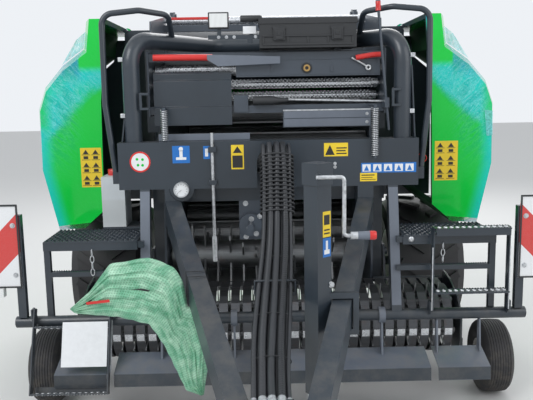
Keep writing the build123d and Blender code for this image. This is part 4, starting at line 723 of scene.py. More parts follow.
for finish_name, node_names in NODE_FINISH.items():
    for node_name in node_names.split():
        slots = nodes[node_name].data.materials
        for index in range(max(1, len(slots))):
            if index < len(slots):
                slots[index] = finishes[finish_name]
            else:
                slots.append(finishes[finish_name])

# The slot that a piece takes by its finish, unless it names another
SLOT_FINISHES = {
    "dark_frame": "dark",
    "frame_grey": "grey guard",
    "machine_green": "red",
    "zinc": "zinc bright brass",
    "black_plastic": "plastic print",
    "board_paint": "white yellow blue green",
    "net_cloth": "net loose_film",
    "hose_rubber": "hose",
    "tyre_rubber": "rubber",
    "lamp_lens": "lamp",
    "marker_lens": "marker",
}
SLOTS = {finish: slot for slot, names in SLOT_FINISHES.items() for finish in names.split()}


def piece(name, shape, finish, body="root", slot=None, bevel=0.0, smooth=40.0, replaces=(), uv=None):
    """Makes the mesh: points merged, faces turned outwards, shading smooth up to an angle in degrees."""
    slot = slot or SLOTS[finish]
    mesh = bpy.data.meshes.new(name)
    mesh.from_pydata(shape[0].tolist(), [], [row for face in shape[1] for row in face.tolist()])
    if uv is not None:
        layer = mesh.uv_layers.new(name="UVMap")
        corner = np.empty(len(mesh.loops), dtype=np.int32)
        mesh.loops.foreach_get("vertex_index", corner)
        layer.data.foreach_set("uv", np.asarray(uv, np.float32)[corner].ravel())
    work = bmesh.new()
    work.from_mesh(mesh)
    bmesh.ops.remove_doubles(work, verts=work.verts, dist=MERGE_WITHIN)
    bmesh.ops.recalc_face_normals(work, faces=work.faces)
    work.to_mesh(mesh)
    work.free()
    mesh.shade_smooth()
    mesh.set_sharp_from_angle(angle=math.radians(smooth))
    made = bpy.data.objects.new(name, mesh)
    scene.collection.objects.link(made)
    mesh.materials.append(finishes[finish])
    if bevel:
        edge = made.modifiers.new("edge", "BEVEL")
        edge.width = bevel
        edge.segments = 2
        edge.limit_method = "ANGLE"
    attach(made, body)
    if replaces:
        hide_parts(*replaces)
    return made


# Stickers on the headstock: blank coloured plates with plain generic marks
FACE = -0.3
PRINT = (FACE - PRINT_FRONT, FACE - STICKER_FRONT)
STICKERS = (
    # colour, then x and z from and to
    ("blue", (-0.488, -0.4, 1.328, 1.416)),
    ("blue", (-0.331, -0.298, 1.347, 1.413)),
    ("yellow", (-0.19, -0.126, 1.292, 1.416)),
    ("yellow", (0.282, 0.404, 1.349, 1.417)),
    ("yellow", (0.466, 0.553, 1.218, 1.261)),
    ("blue", (0.471, 0.753, 1.261, 1.312)),
)
signs = {"yellow": [], "blue": []}
for colour, span in STICKERS:
    signs[colour].append(plate(span, FACE))
FIGURES = [0.055 * k for k in range(5)]
signs["blue"] += [triangle(0.486 + x, 0.512 + x, 1.272, 1.3, FACE - 0.002, PRINT[0]) for x in FIGURES]
disc_centre = (-0.653, FACE, 1.338)
signs["white"] = [lathe([(0.0, 0.0008), (0.053, 0.0008), (0.053, 0.0001)], disc_centre, FRONT, 40)]
rim = [(0.045, 0.0009), (0.045, 0.0016), (0.053, 0.0016), (0.053, 0.0009)]
signs["red"] = [lathe(rim, disc_centre, FRONT, 40)]
for colour, shapes in signs.items():
    piece(f"head_signs_{colour}", joined(*shapes), colour, slot="board_paint")
piece("head_sign_marks", joined(
    triangle(-0.181, -0.135, 1.375, 1.409, *PRINT),
    slabs(*PRINT, (-0.184, -0.132, 1.3, 1.362)),
    triangle(0.288, 0.336, 1.356, 1.408, *PRINT),
    slabs(
        *PRINT, (0.345, 0.398, 1.388, 1.394), (0.345, 0.392, 1.374, 1.38), (0.345, 0.397, 1.36, 1.366),
        (0.473, 0.546, 1.226, 1.229), (0.473, 0.53, 1.236, 1.239), (0.473, 0.54, 1.247, 1.252),
    ),
), "print")
piece("head_sign_marks_white", joined(
    slabs(*PRINT, (-0.47, -0.418, 1.345, 1.358), (-0.452, -0.436, 1.358, 1.392)),
    lathe([(0.0, 0.0014), (0.011, 0.0014), (0.011, 0.0008)], (-0.444, FACE, 1.4), FRONT, 16),
    slabs(*PRINT, (-0.322, -0.307, 1.36, 1.4), *((0.478 + x, 0.52 + x, 1.268, 1.305) for x in FIGURES)),
), "white")
dot = lathe([(0.0, 0.0015), (0.007, 0.0015), (0.007, 0.0007)], (0, 0, 0), FRONT, 12)
dots = [(x, FACE, z) for x, z in ((-0.668, 1.352), (-0.64, 1.35), (-0.664, 1.322), (-0.641, 1.321))]
piece("head_sign_dots", repeated(dot, dots), "green")

# Stickers on the doors: two columns of three figures with bars
DOOR_Y = 0.05
DOOR_PRINT = (DOOR_Y - PRINT_FRONT, DOOR_Y - STICKER_FRONT)
DOOR_STICKERS = {"left": (-1.042, -0.926, 1.168, 1.388), "right": (0.935, 1.064, 1.17, 1.391)}
for side, span in DOOR_STICKERS.items():
    x0, x1, z0, z1 = span
    piece(f"door_sign_{side}", plate(span, DOOR_Y), "yellow", f"side_door_{side}")
    marks = []
    for x in (x0 + 0.007, (x0 + x1) / 2 + 0.003):
        for z in (z1 - 0.01, z1 - 0.082, z1 - 0.154):
            bars = ((x, x + 0.047, z - 0.03, z - 0.0275), (x, x + 0.047, z - 0.058, z - 0.0555))
            marks.append(slabs(*DOOR_PRINT, *bars))
            marks.append(triangle(x + 0.006, x + 0.04, z - 0.025, z, *DOOR_PRINT))
            marks.append(slabs(*DOOR_PRINT, (x + 0.01, x + 0.036, z - 0.052, z - 0.036)))
    piece(f"door_sign_marks_{side}", joined(*marks), "print", f"side_door_{side}")

# Stickers on the jack's right front face
JACK = np.array((0.182, -1.08))
JACK_TURN = math.radians(-50.0)
JACK_REACH = 0.0391
jack_normal = np.array((math.cos(JACK_TURN), math.sin(JACK_TURN)))
jack_along = np.array((-jack_normal[1], jack_normal[0]))


def on_jack(lift, *spans):
    """Thin plates on that face, each from and to across it and up."""
    plates = []
    for t0, t1, z0, z1 in spans:
        corners = ((t0, 0.0), (t1, 0.0), (t1, lift), (t0, lift))
        outline = [JACK + jack_normal * (JACK_REACH + up) + jack_along * t for t, up in corners]
        plates.append(prism(outline, 2, z0, z1))
    return joined(*plates)


jack_bars = ((-0.004, 0.028, 1.15, 1.19), (-0.004, 0.028, 1.112, 1.118), (-0.004, 0.028, 1.126, 1.132))
jack_figure = ((-0.003, 0.027, 1.03, 1.048), (0.006, 0.018, 1.048, 1.085))
JACK_PRINT = 0.0012
piece("jack_sign_yellow", on_jack(STICKER_FRONT, (-0.01, 0.034, 1.1, 1.204)), "yellow")
piece("jack_sign_blue", on_jack(STICKER_FRONT, (-0.01, 0.034, 1.018, 1.096)), "blue")
piece("jack_sign_marks", on_jack(JACK_PRINT, *jack_bars), "print")
piece("jack_sign_marks_white", on_jack(JACK_PRINT, *jack_figure), "white")

# Bolts and nuts, by body and direction
WHEEL_AT = (1.06, 0.465)
GAUGE_AT = (-0.115, 0.2)
BRACKET_Y = -0.15
GATE_BOLTS = ((1.3, 0.9), (1.62, 1.1), (1.72, 1.4), (1.62, 1.7), (1.3, 1.88))
drawbar_bolts = [(x, y, 0.615) for x in (-0.115, 0.115) for y in (-1.68, -1.715)]
drawbar_bolts += [(x, -1.748, 0.615) for x in (-0.035, 0.035)]
gearbox_bolts = [(x, -0.175, z) for x in (-0.125, 0.105) for z in (0.915, 1.005, 1.095)]
gearbox_bolts += [
    (-0.06 + 0.048 * math.cos(a), -0.215, 0.985 + 0.048 * math.sin(a))
    for a in np.linspace(0.3, 6.6, 6, endpoint=False)
]
board_bolts = [(s * 1.268, -0.452, z) for s in (-1, 1) for z in (0.8, 1.05)]
bracket_bolts = [(x, BRACKET_Y, 1.961) for x in (-0.245, -0.205, -0.165, -0.055)]
BOLTS = [
    # name, body, axis, radius, height, places
    ("head_bolts", "root", FRONT, 0.006, 0.007, [(0.338, FACE, z) for z in (1.312, 1.294)]),
    ("drawbar_head_bolts", "root", UP, 0.013, 0.007, drawbar_bolts),
    ("board_bolts", "root", FRONT, 0.009, 0.007, board_bolts),
    ("clamp_bolts", "root", FRONT, 0.009, 0.007, [(0.235, -1.092, 0.9)]),
    ("gearbox_bolts", "root", FRONT, 0.01, 0.007, gearbox_bolts),
    ("brake_panel_bolts", "root", FRONT, 0.006, 0.005, [(0.52, -0.1722, z) for z in (1.558, 1.515)]),
    ("bracket_bolts", "root", FRONT, 0.006, 0.005, bracket_bolts),
]
for side, sign in SIDES:
    outward = (sign, 0, 0)
    gate_bolts = [(sign * 0.755, y, z) for y, z in GATE_BOLTS]
    wheel_nuts = places_round(sign * 1.102, WHEEL_AT, 0.1, 8)
    gauge_nuts = places_round(sign * 1.229, GAUGE_AT, 0.055, 5, 0.3)
    BOLTS += [
        (f"gate_bolts_{side}", "tailgate", outward, 0.012, 0.007, gate_bolts),
        (f"wheel_nuts_{side}", f"wheel_{side}", outward, 0.012, 0.014, wheel_nuts),
        (f"gauge_nuts_{side}", f"gauge_wheel_{side}", outward, 0.008, 0.01, gauge_nuts),
    ]
for name, body, axis, radius, height, places in BOLTS:
    piece(name, bolts(places, axis, radius, height), "zinc", body, smooth=25)

# Hub caps, and the gauge wheels' tyres: a crown with fine rings, in place of the plain ones
TREAD_RADIUS = 0.1995
TREAD_HALF = 0.056
GROOVE_PITCH = 0.014
GROOVE_DEPTH = 0.003
across = np.linspace(-TREAD_HALF, TREAD_HALF, 57)
crown = TREAD_RADIUS - 0.004 * (across / TREAD_HALF) ** 2
crown -= GROOVE_DEPTH * (np.cos(across * FULL_TURN / GROOVE_PITCH) < -0.25)
flank = [(0.0952, -0.07), (0.112, -0.079), (0.135, -0.0824), (0.152, -0.0815), (0.172, -0.0765)]
flank.append((0.185, -0.069))
profile = flank + list(zip(crown, across)) + [(r, -x) for r, x in reversed(flank)]
cap = [(0.0, 0.024), (0.03, 0.02), (0.036, 0.0), (0.036, -0.01)]
for side, sign in SIDES:
    piece(f"hub_cap_{side}", lathe(cap, (sign * 1.17, *WHEEL_AT), (sign, 0, 0), 28), "zinc", f"wheel_{side}")
    tyre = lathe(profile, (sign * 1.225, *GAUGE_AT), RIGHT, 72)
    plain = (f"gauge_tyre_{side}",)
    piece(f"gauge_ribbed_{side}", tyre, "rubber", f"gauge_wheel_{side}", smooth=25, replaces=plain)

# Serrated edges, grips and worn edges of the decks and ladders
DECK_TOP = 0.955
LADDER_PIVOT = (-0.46, 0.605)
LADDER_TURN = {"left": 158.0, "right": 0.0}
TREAD_THICK = 0.006


def on_ladder(name, side, shape, finish, slot="zinc", smooth=40.0):
    """A piece shaped on the hanging ladder, turned with it to where it rests."""
    shape = tilted(shape, LADDER_PIVOT, LADDER_TURN[side])
    return piece(name, shape, finish, f"ladder_{side}", slot, smooth=smooth)


deck_grip = lathe([(0.005, 0.0), (0.0065, 0.0045), (0.009, 0.0045), (0.0115, 0.0)], (0, 0, 0), UP, 8)
hole_rim = [(0.006, 0.0), (0.0075, 0.0035), (0.01, 0.0035), (0.0115, 0.0)]
for side, sign in SIDES:
    places = []
    for row, y in enumerate(np.arange(-0.398, -0.13, 0.03)):
        for x in np.arange(0.69, 1.12, 0.034) + (0.017 if row % 2 else 0.0):
            places.append((sign * x, y, DECK_TOP))
    piece(f"deck_grips_{side}", repeated(deck_grip, places), "dark", slot="zinc", smooth=30)
    low, high = sorted((sign * 0.668, sign * 1.134))
    rows = [zigzag(low, high, y, DECK_TOP, 0.02, 0.01, 0.003) for y in np.linspace(-0.42, -0.123, 11)]
    rows.append(zigzag(low, high, -0.392, 0.8, 0.012, 0.006, 0.003))
    piece(f"deck_teeth_{side}", joined(*rows), "dark", slot="zinc", smooth=20)
    low, high = sorted((sign * 0.812, sign * 1.178))
    teeth, rims, fronts = [], [], []
    for z, lip in ((0.07, 0.002), (0.392, 0.03)):
        top = z + TREAD_THICK
        for y, level, height in ((-0.0475, top, 0.004), (0.0195, z, -0.004), (0.0195, top, 0.004)):
            teeth.append(zigzag(low, high, y, level, 0.014, height, 0.002))
        for x in np.arange(low + 0.02, high - 0.01, 0.03):
            rims.append(lathe(hole_rim, (x, -0.014, z), (0, 0, -1), 10))
            rims.append(lathe(hole_rim, (x, -0.014, top), UP, 10))
        fronts.append(crate(low, high, -0.0485, -0.048, z - lip, top))
    on_ladder(f"ladder_teeth_{side}", side, joined(*teeth), "dark", smooth=20)
    on_ladder(f"ladder_rings_{side}", side, joined(*rims), "zinc", smooth=30)
    on_ladder(f"tread_fronts_{side}", side, joined(*fronts), "dark")
    spans = [(sign * x - 0.0025, sign * x + 0.0025, -0.022, 0.3) for x in (0.8015, 1.1865)]
    on_ladder(f"ladder_worn_edges_{side}", side, slabs(-0.0224, -0.0218, *spans), "zinc")
on_ladder("ladder_plate", "left", crate(-1.037, -0.814, 0.0222, 0.0236, 0.05, 0.268), "white", "board_paint")

# Warning boards: black frame, lamp glasses and lamp bases
for side, sign in SIDES:
    low, high = sorted((sign * 1.24, sign * 1.52))
    frame_bars = slabs(
        -0.4555, -0.4505, (low, high, 1.147, 1.1555), (low, high, 0.7345, 0.743),
        (low, low + 0.008, 0.743, 1.147), (high - 0.008, high, 0.743, 1.147),
    )
    piece(f"board_frame_{side}", frame_bars, "plastic", bevel=0.001)
    low = min(sign * 1.333, sign * 1.427)
    piece(f"board_lamp_red_{side}", crate(low, low + 0.044, -0.4712, -0.4701, 0.693, 0.732), "lamp")
    low, high = sorted((sign * 1.332, sign * 1.428))
    piece(f"board_lamp_base_{side}", crate(low, high, -0.4298, -0.425, 0.69, 0.735), "plastic", bevel=0.001)

# Plain pieces of one depth
BOX_FACE = -0.2
SLAB_PIECES = (
    # name, finish, bevel, y from and to, then x and z from and to of each slab
    ("top_red_strip", "red", 0.002, 0.575, 0.592, (-0.6, -0.218, 2.124, 2.14)),
    ("pale_strip", "guard", 0.001, -0.196, -0.192, (-0.569, -0.094, 1.4355, 1.47)),
    ("brake_panel_edge", "zinc", 0.0, -0.173, -0.1702, (0.081, 0.542, 1.578, 1.585)),
    ("brake_panel_band", "guard", 0.0006, -0.1722, -0.1702,
     (0.086, 0.538, 1.5405, 1.5765), (0.086, 0.538, 1.496, 1.536)),
    ("head_rod_clips", "dark", 0.002, -0.32, -0.3005,
     (-0.305, -0.265, 1.38, 1.41), (-0.305, -0.265, 1.215, 1.24)),
    ("rail_clamps", "zinc", 0.002, -0.272, -0.24,
     *((x - 0.012, x + 0.012, z, z + 0.022) for x in (-0.735, 0.735) for z in (1.56, 1.84))),
    ("blank_plate", "white", 0.001, -0.156, -0.1505, (-0.119, -0.051, 1.976, 2.014)),
    ("square_light", "plastic", 0.004, -0.166, -0.142, (-0.297, -0.191, 2.003, 2.086)),
    ("square_light_glass", "marker", 0.002, -0.1685, -0.1655, (-0.29, -0.198, 2.01, 2.079)),
)
for name, finish, bevel, low, high, *spans in SLAB_PIECES:
    piece(name, slabs(low, high, *spans), finish, bevel=bevel)

# Small turned pieces
GRIP_AT = (0.366, -1.18, 1.12)
BUSH_AT = (0.208, -0.15, 1.798)
TURNED = (
    # name, finish, slot, smooth, centre, axis, sides, profile of radius and distance
    ("lever_grip", "red", None, 40, (0.5628, -0.25, 2.072), (-0.06, 0, 1.0), 20,
     [(0.0, 0.05), (0.009, 0.049), (0.0135, 0.043), (0.0128, 0.03), (0.0135, 0.018), (0.013, 0.004),
      (0.015, 0.0), (0.0122, -0.001)]),
    ("net_cone", "plastic", None, 40, (-0.075, -0.175, 1.634), RIGHT, 24,
     [(0.0, 0.0), (0.024, 0.0), (0.024, 0.1), (0.016, 0.13), (0.01, 0.185), (0.0, 0.185)]),
    ("brass_bush", "brass", None, 30, BUSH_AT, FRONT, 26,
     [(0.009, 0.004), (0.009, 0.012), (0.0175, 0.012), (0.0185, 0.008), (0.0185, -0.001)]),
    ("bush_seat", "plastic", None, 30, BUSH_AT, FRONT, 24,
     [(0.0, 0.005), (0.026, 0.005), (0.028, 0.0), (0.028, -0.001)]),
    ("lamp_can", "plastic", None, 40, (-0.076, -0.15, 2.0525), RIGHT, 26,
     [(0.0, -0.056), (0.014, -0.056), (0.017, -0.05), (0.017, 0.044), (0.015, 0.052), (0.01, 0.056),
      (0.0, 0.056)]),
    ("deck_latch", "zinc", None, 40, (0.707, -0.42, 0.936), FRONT, 24,
     [(0.0, 0.009), (0.009, 0.009), (0.014, 0.005), (0.016, 0.0), (0.016, -0.001)]),
    ("crank_sleeve", "guard", "zinc", 40, GRIP_AT, RIGHT, 22,
     [(0.0155, -0.036), (0.016, -0.034), (0.0178, 0.01), (0.015, 0.0105)]),
    ("crank_grip", "red", None, 40, GRIP_AT, RIGHT, 22,
     [(0.0155, 0.0105), (0.0178, 0.0107), (0.0178, 0.03), (0.015, 0.036), (0.0, 0.037)]),
    ("tank_cap_red", "red", None, 40, (-0.86, 0.03, 1.236), UP, 30,
     [(0.0, 0.0345), (0.0265, 0.0345), (0.029, 0.0315), (0.029, 0.001), (0.028, 0.0)]),
)
for name, finish, slot, smooth, centre, axis, sides, profile in TURNED:
    piece(name, lathe(profile, centre, axis, sides), finish, slot=slot, smooth=smooth)

# Springs, levers, covers and rods of the net system
piece("net_springs", joined(
    helix((-0.528, -0.26, 1.442), (-0.528, -0.26, 1.596), 0.0165, 0.0024, 17),
    helix((0.538, -0.32, 1.352), (0.538, -0.32, 1.592), 0.0165, 0.0024, 26),
), "zinc")
red_bar = [(-0.585, -0.166, 1.862), (-0.43, -0.166, 1.861), (-0.28, -0.166, 1.859)]
piece("net_red_bar", tube(red_bar, 0.0165, 20), "red")
taper = [(-0.306, 1.846), (-0.25, 1.812), (0.069, 1.822), (0.069, 1.858), (-0.306, 1.872)]
piece("taper_plate", prism(taper, 1, -0.19, -0.184), "guard", bevel=0.001)
net_rod = [(-0.027, -0.152, 1.642), (0.3, -0.152, 1.631), (0.616, -0.152, 1.62)]
piece("net_rod", tube(net_rod, 0.007, 12), "zinc")
piece("upper_cover", joined(
    slabs(-0.15, -0.146, (-0.16, 0.59, 1.762, 1.842)),
    slabs(-0.156, -0.146, (-0.16, 0.59, 1.756, 1.762)),
    slabs(-0.1535, -0.15, (0.02, 0.034, 1.78, 1.83), (0.33, 0.346, 1.776, 1.812)),
), "grey", bevel=0.001)
handle = [(0.462, -0.166, 1.846), (0.5, -0.17, 1.852), (0.545, -0.172, 1.859), (0.589, -0.17, 1.861)]
piece("brake_handle", tube(smooth_line(handle, 20, 2), 0.0135, 14), "red")
piece("brake_link", joined(
    tube([(0.44, -0.162, 1.846), (0.48, -0.162, 1.825), (0.52, -0.162, 1.8)], 0.0055, 10),
    ring_loop((0.527, -0.162, 1.795), (0, 1, 0), 0.011, 0.005),
), "zinc")
dimple = lathe([(0.0, 0.0006), (0.0045, 0.0012), (0.0058, 0.0)], (0, 0, 0), FRONT, 8)
ROLLER_RADIUS = 0.024
places = []
for y, z in ((0.0, 1.72), (0.062, 1.655)):
    for turn in np.linspace(-0.9, 1.2, 5):
        for x in np.arange(-0.56, 0.57, 0.02) + 0.01 * (round(turn * 10) % 2):
            places.append((x, y - ROLLER_RADIUS * math.cos(turn), z + ROLLER_RADIUS * math.sin(turn)))
piece("roller_dimples", repeated(dimple, places), "bright", smooth=60)
stays = []
for x, z0, z1 in ((-0.646, 1.598, 1.684), (0.629, 1.596, 1.687)):
    stays.append(prism([
        (x, z0), (x + 0.046, z0), (x + 0.046, z0 + 0.012), (x + 0.012, z0 + 0.012),
        (x + 0.012, z1 - 0.012), (x + 0.046, z1 - 0.012), (x + 0.046, z1), (x, z1),
    ], 1, -0.285, -0.27))
piece("side_stays", joined(*stays), "dark", bevel=0.001)
cover_side = [
    (-0.15, 1.788), (-0.16, 1.776), (-0.156, 1.748), (-0.164, 1.74), (-0.164, 1.612), (-0.174, 1.604),
    (-0.174, 1.512), (-0.17, 1.512), (-0.17, 1.6), (-0.16, 1.608), (-0.16, 1.738), (-0.15, 1.748),
]
piece("net_cover", prism(cover_side, 0, -0.59, -0.185), "dark", bevel=0.0008)

# Hoses: each follows the route through the gap, over its arch and down to the drawbar head
HOSE_LINE = (
    # x, y, z, spread
    (0.032, -0.15, 1.33, 1.0),
    (0.032, -0.31, 1.33, 1.0),
    (0.036, -0.4, 1.42, 1.0),
    (0.038, -0.49, 1.4, 1.0),
    (0.036, -0.57, 1.27, 1.0),
    (0.03, -0.76, 1.015, 1.06),
    (0.01, -1.0, 0.865, 1.12),
    (-0.012, -1.3, 0.745, 1.1),
    (-0.02, -1.5, 0.68, 1.05),
    (-0.02, -1.668, 0.645, 1.0),
)
HOSES = (
    # across, forward, radius, sway, dress
    (-0.046, -0.012, 0.015, 0.002, "plain"),
    (-0.015, -0.012, 0.015, -0.002, "wound"),
    (0.016, -0.012, 0.015, 0.002, "plain"),
    (0.047, -0.012, 0.015, -0.002, "plain"),
    (-0.033, 0.015, 0.0135, 0.003, "ribbed"),
    (-0.001, 0.016, 0.0145, -0.003, "plain"),
    (0.031, 0.015, 0.014, 0.003, "wound"),
    (-0.062, 0.01, 0.01, 0.004, "ribbed"),
    (0.058, 0.011, 0.0075, -0.004, "plain"),
)
SWAYS = np.array((0, 0, 1, 1, 1, 1, 0, 1, 1, 0))
hose_shapes, wound_shapes, ferrules = [], [], []
hose_middle = np.array([row[:3] for row in HOSE_LINE])
hose_spread = np.array([row[3] for row in HOSE_LINE])
hose_front = np.cross(RIGHT, -unit(np.gradient(hose_middle, axis=0)))
for across, forward, radius, sway, dress in HOSES:
    drift = sway * np.sin(1.7 * np.arange(len(HOSE_LINE))) * SWAYS
    points = hose_middle + hose_front * (forward + drift * 0.5)[:, None]
    points[:, 0] += across * hose_spread + drift
    line = route([tuple(point) for point in points])
    if dress == "ribbed":
        hose_shapes.append(ribbed(line, radius))
    else:
        hose_shapes.append(tube(resampled(line, spacing=0.012)[0], radius, 16))
    if dress == "wound":
        wound_shapes.append(wound(line, radius + 0.0006, 0.0012, 0.013))
    for end, inner, share, reach, neck in ((0, 1, 0.7, 0.02, 0.008), (-1, -2, 0.6, 0.034, 0.012)):
        profile = [
            (0.0, reach), (radius * share, reach), (radius * share, neck), (radius + 0.002, neck - 0.002),
            (radius + 0.002, -0.03), (radius, -0.032),
        ]
        ferrules.append(lathe(profile, line[end], line[end] - line[inner], 16))
piece("hoses", joined(*hose_shapes), "hose", smooth=60, replaces=("hose_bundle",))
piece("hose_wraps", joined(*wound_shapes), "plastic", smooth=60)
piece("hose_ferrules", joined(*ferrules), "zinc", smooth=30)
piece("hose_bridge", joined(
    slabs(-0.215, -0.205, (-0.0595, 0.1245, 1.29, 1.303)),
    slabs(
        -1.005, -0.995, (-0.08, 0.096, 0.83, 0.845), (-0.08, 0.096, 0.893, 0.9),
        (-0.08, -0.074, 0.845, 0.893), (0.09, 0.096, 0.845, 0.893),
    ),
    slabs(
        -1.666, -1.654, (-0.092, 0.052, 0.6155, 0.628), (-0.092, 0.052, 0.664, 0.67),
        (-0.092, -0.088, 0.628, 0.664), (0.048, 0.052, 0.628, 0.664),
    ),
), "dark", bevel=0.0015)
TIE_WIRE, TIE_HALF_DEPTH = 0.0018, 0.03
HOSE_TIES = (
    # x, y, z, slant in degrees, half width
    (0.037, -0.515, 1.35, 55.0, 0.074),
    (0.032, -0.66, 1.145, 56.0, 0.076),
    (0.02, -0.86, 0.948, 36.0, 0.079),
    (-0.004, -1.18, 0.792, 24.0, 0.078),
    (-0.018, -1.42, 0.706, 20.0, 0.073),
)


def slanted(degrees):
    """A direction square to X, so many degrees above level."""
    return 0.0, math.cos(math.radians(degrees)), math.sin(math.radians(degrees))


ties = []
for x, y, z, slant, wide in HOSE_TIES:
    ties.append(ring_loop((x, y, z), slanted(slant), 1.0, TIE_WIRE, 36, 6, (TIE_HALF_DEPTH, wide)))
piece("hose_ties", joined(*ties), "plastic", smooth=50)
SLEEVE_TOP, SLEEVE_LOW = np.array((0.037, -0.5, 1.371)), np.array((0.031, -0.672, 1.128))
SLEEVE_WIRE, SLEEVE_HALVES, SLEEVE_SLANT = 0.0048, (0.0335, 0.0775), 55.0
coils = []
for share in np.linspace(0.0, 1.0, 15):
    place = SLEEVE_TOP + (SLEEVE_LOW - SLEEVE_TOP) * share
    coils.append(ring_loop(place, slanted(SLEEVE_SLANT), 1.0, SLEEVE_WIRE, 40, 8, SLEEVE_HALVES))
piece("hose_sleeve", joined(*coils), "plastic", smooth=60)

# Net bag: a net folded over at its upper outline and open along the lower one, gathered into long folds
BAG_UPPER = (
    (-0.881, 0.764), (-0.793, 0.839), (-0.701, 0.961), (-0.527, 0.988), (-0.424, 0.943), (-0.385, 0.876),
    (-0.37, 0.764), (-0.302, 0.758), (-0.262, 0.65), (-0.313, 0.358),
)
BAG_LOWER = (
    (-0.881, 0.76), (-0.862, 0.744), (-0.76, 0.731), (-0.669, 0.719), (-0.542, 0.684), (-0.482, 0.59),
    (-0.44, 0.49), (-0.393, 0.381), (-0.35, 0.366), (-0.316, 0.355),
)
BAG_MIDDLE = -0.9085
BAG_HALF = 0.0345
BAG_OPENING = 0.12
FOLDS = (
    # folds across, bends along, depth, phase
    (3.0, 1.0, 0.3, 0.4),
    (7.0, 1.5, 0.34, 1.9),
    (12.0, 2.0, 0.22, 0.7),
    (21.0, 1.2, 0.14, 2.6),
    (33.0, 2.6, 0.08, 4.1),
)
rows, around = 260, 112
upper = smooth_line([(x, 0.0, z) for x, z in BAG_UPPER], rows, 5)
lower = smooth_line([(x, 0.0, z) for x, z in BAG_LOWER], rows, 5)
s = np.linspace(0.0, 1.0, rows)[:, None]
turn = np.linspace(math.pi + BAG_OPENING, 3 * math.pi - BAG_OPENING, around)[None]
t = (1 - np.cos(turn)) / 2
folds = np.zeros((rows, around))
for across, along, depth, phase in FOLDS:
    bend = 2.2 * np.sin(FULL_TURN * along * s + phase)
    folds += depth * np.sin(FULL_TURN * across * t + phase + bend + 3.0 * s)
knots = 0.1 * np.sin(FULL_TURN * 9.0 * s + 1.3) * np.sin(FULL_TURN * 2.0 * t + 0.8)
front = np.sign(np.sin(turn) + 1e-9)
fill = np.clip(0.66 + 0.3 * (folds + knots), 0.3, 1.0)
half = BAG_HALF * fill * np.clip(np.minimum(s / 0.05, (1 - s) / 0.015), 0.1, 1.0)
edge = 0.01 * np.sin(FULL_TURN * 6.0 * s + 0.5) ** 2 + 0.006
share = edge + (1 - 2 * edge) * t
grid = np.empty((rows, around, 3))
for k in (0, 2):
    grid[:, :, k] = upper[:, k : k + 1] * (1 - share) + lower[:, k : k + 1] * share
grid[:, :, 1] = BAG_MIDDLE - half * np.abs(np.sin(turn)) ** 0.7 * front
bag_uv = np.stack(np.broadcast_arrays(s * 1.25, turn / (FULL_TURN) * 0.62), axis=-1).reshape(-1, 2)
bag = piece("net_bag", sheet_grid(grid), "net", smooth=80, replaces=("driveline_bag",), uv=bag_uv)
contents = []
for bends, radius, sides in (
    (((-0.82, 0.79), (-0.64, 0.85), (-0.47, 0.85)), 0.019, 16),
    (((-0.56, 0.76), (-0.47, 0.74), (-0.4, 0.6)), 0.012, 14),
):
    contents.append(tube(smooth_line([(x, BAG_MIDDLE, z) for x, z in bends], 30, 4), radius, sides))
piece("bag_contents", joined(*contents), "plastic")
strip = [(-0.8, 0.79), (-0.7, 0.8), (-0.702, 0.812), (-0.802, 0.802)]
piece("bag_strip", prism(strip, 1, -0.944, -0.9432), "red", slot="board_paint")
beam_ties = []
for y in (-0.89, -0.925):
    share = (-0.3 - y) / 1.35
    x, z = -(0.495 - 0.37 * share), 1.075 - 0.52 * share
    corners = ((-1, -1), (0, -1), (1, -1), (1, 0), (1, 1), (0, 1), (-1, 1), (-1, 0))
    loop = [(x + a * 0.0425, y + 0.004 * a * b, z + b * 0.0665) for a, b in corners]
    beam_ties.append(tube(loop, TIE_WIRE, 6, close=True))
piece("bag_ties", joined(*beam_ties), "plastic", slot="net_cloth", smooth=50)

# Headstock: hanging rod with its sleeve, gauge rim and needle, end ring, edges of the guard tube
piece("head_rod", joined(
    tube([(-0.285, -0.309, z) for z in (0.817, 1.15, 1.48)], 0.0085, 14),
    tube([(-0.285, -0.309, z) for z in (0.817, 0.88, 0.948)], 0.013, 14),
), "zinc")
gauge = (-0.446, -0.334, 1.195)
gauge_x, gauge_y, gauge_z = gauge
rim = [(0.0325, 0.0005), (0.033, 0.004), (0.0385, 0.004), (0.039, -0.02), (0.0375, -0.03)]
piece("gauge_rim", lathe(rim, gauge, FRONT, 36), "zinc")
ticks = []
for k in range(11):
    at = math.radians(225.0 - 27.0 * k)
    a, b = np.array((math.cos(at), math.sin(at))), np.array((-math.sin(at), math.cos(at))) * 0.0008
    inner, outer = a * 0.025, a * 0.031
    outline = [(gauge_x + p[0], gauge_z + p[1]) for p in (inner - b, outer - b, outer + b, inner + b)]
    ticks.append(prism(outline, 1, gauge_y - 0.001, gauge_y - 0.0002))
needle = [(gauge_x + a, gauge_z + b) for a, b in ((-0.002, -0.004), (0.002, 0.001), (-0.021, -0.016))]
ticks.append(prism(needle, 1, gauge_y - 0.0022, gauge_y - 0.0012))
piece("gauge_marks", joined(*ticks), "print")
end_ring = ring_loop((0.787, -0.262, 1.328), (0, 1, 0), 0.024, 0.0016, 30, 6, (0.92, 1.15))
piece("end_ring", end_ring, "red", slot="zinc")
edges = []
for x0, x1, top in ((-0.746, -0.693, 1.81), (0.753, 0.732, 1.801)):
    outline = [(x0 - 0.004, 1.436), (x0 + 0.004, 1.436), (x1 + 0.004, top), (x1 - 0.004, top)]
    edges.append(prism(outline, 1, -0.262, -0.225))
piece("guard_edges", joined(*edges), "dark", bevel=0.001)

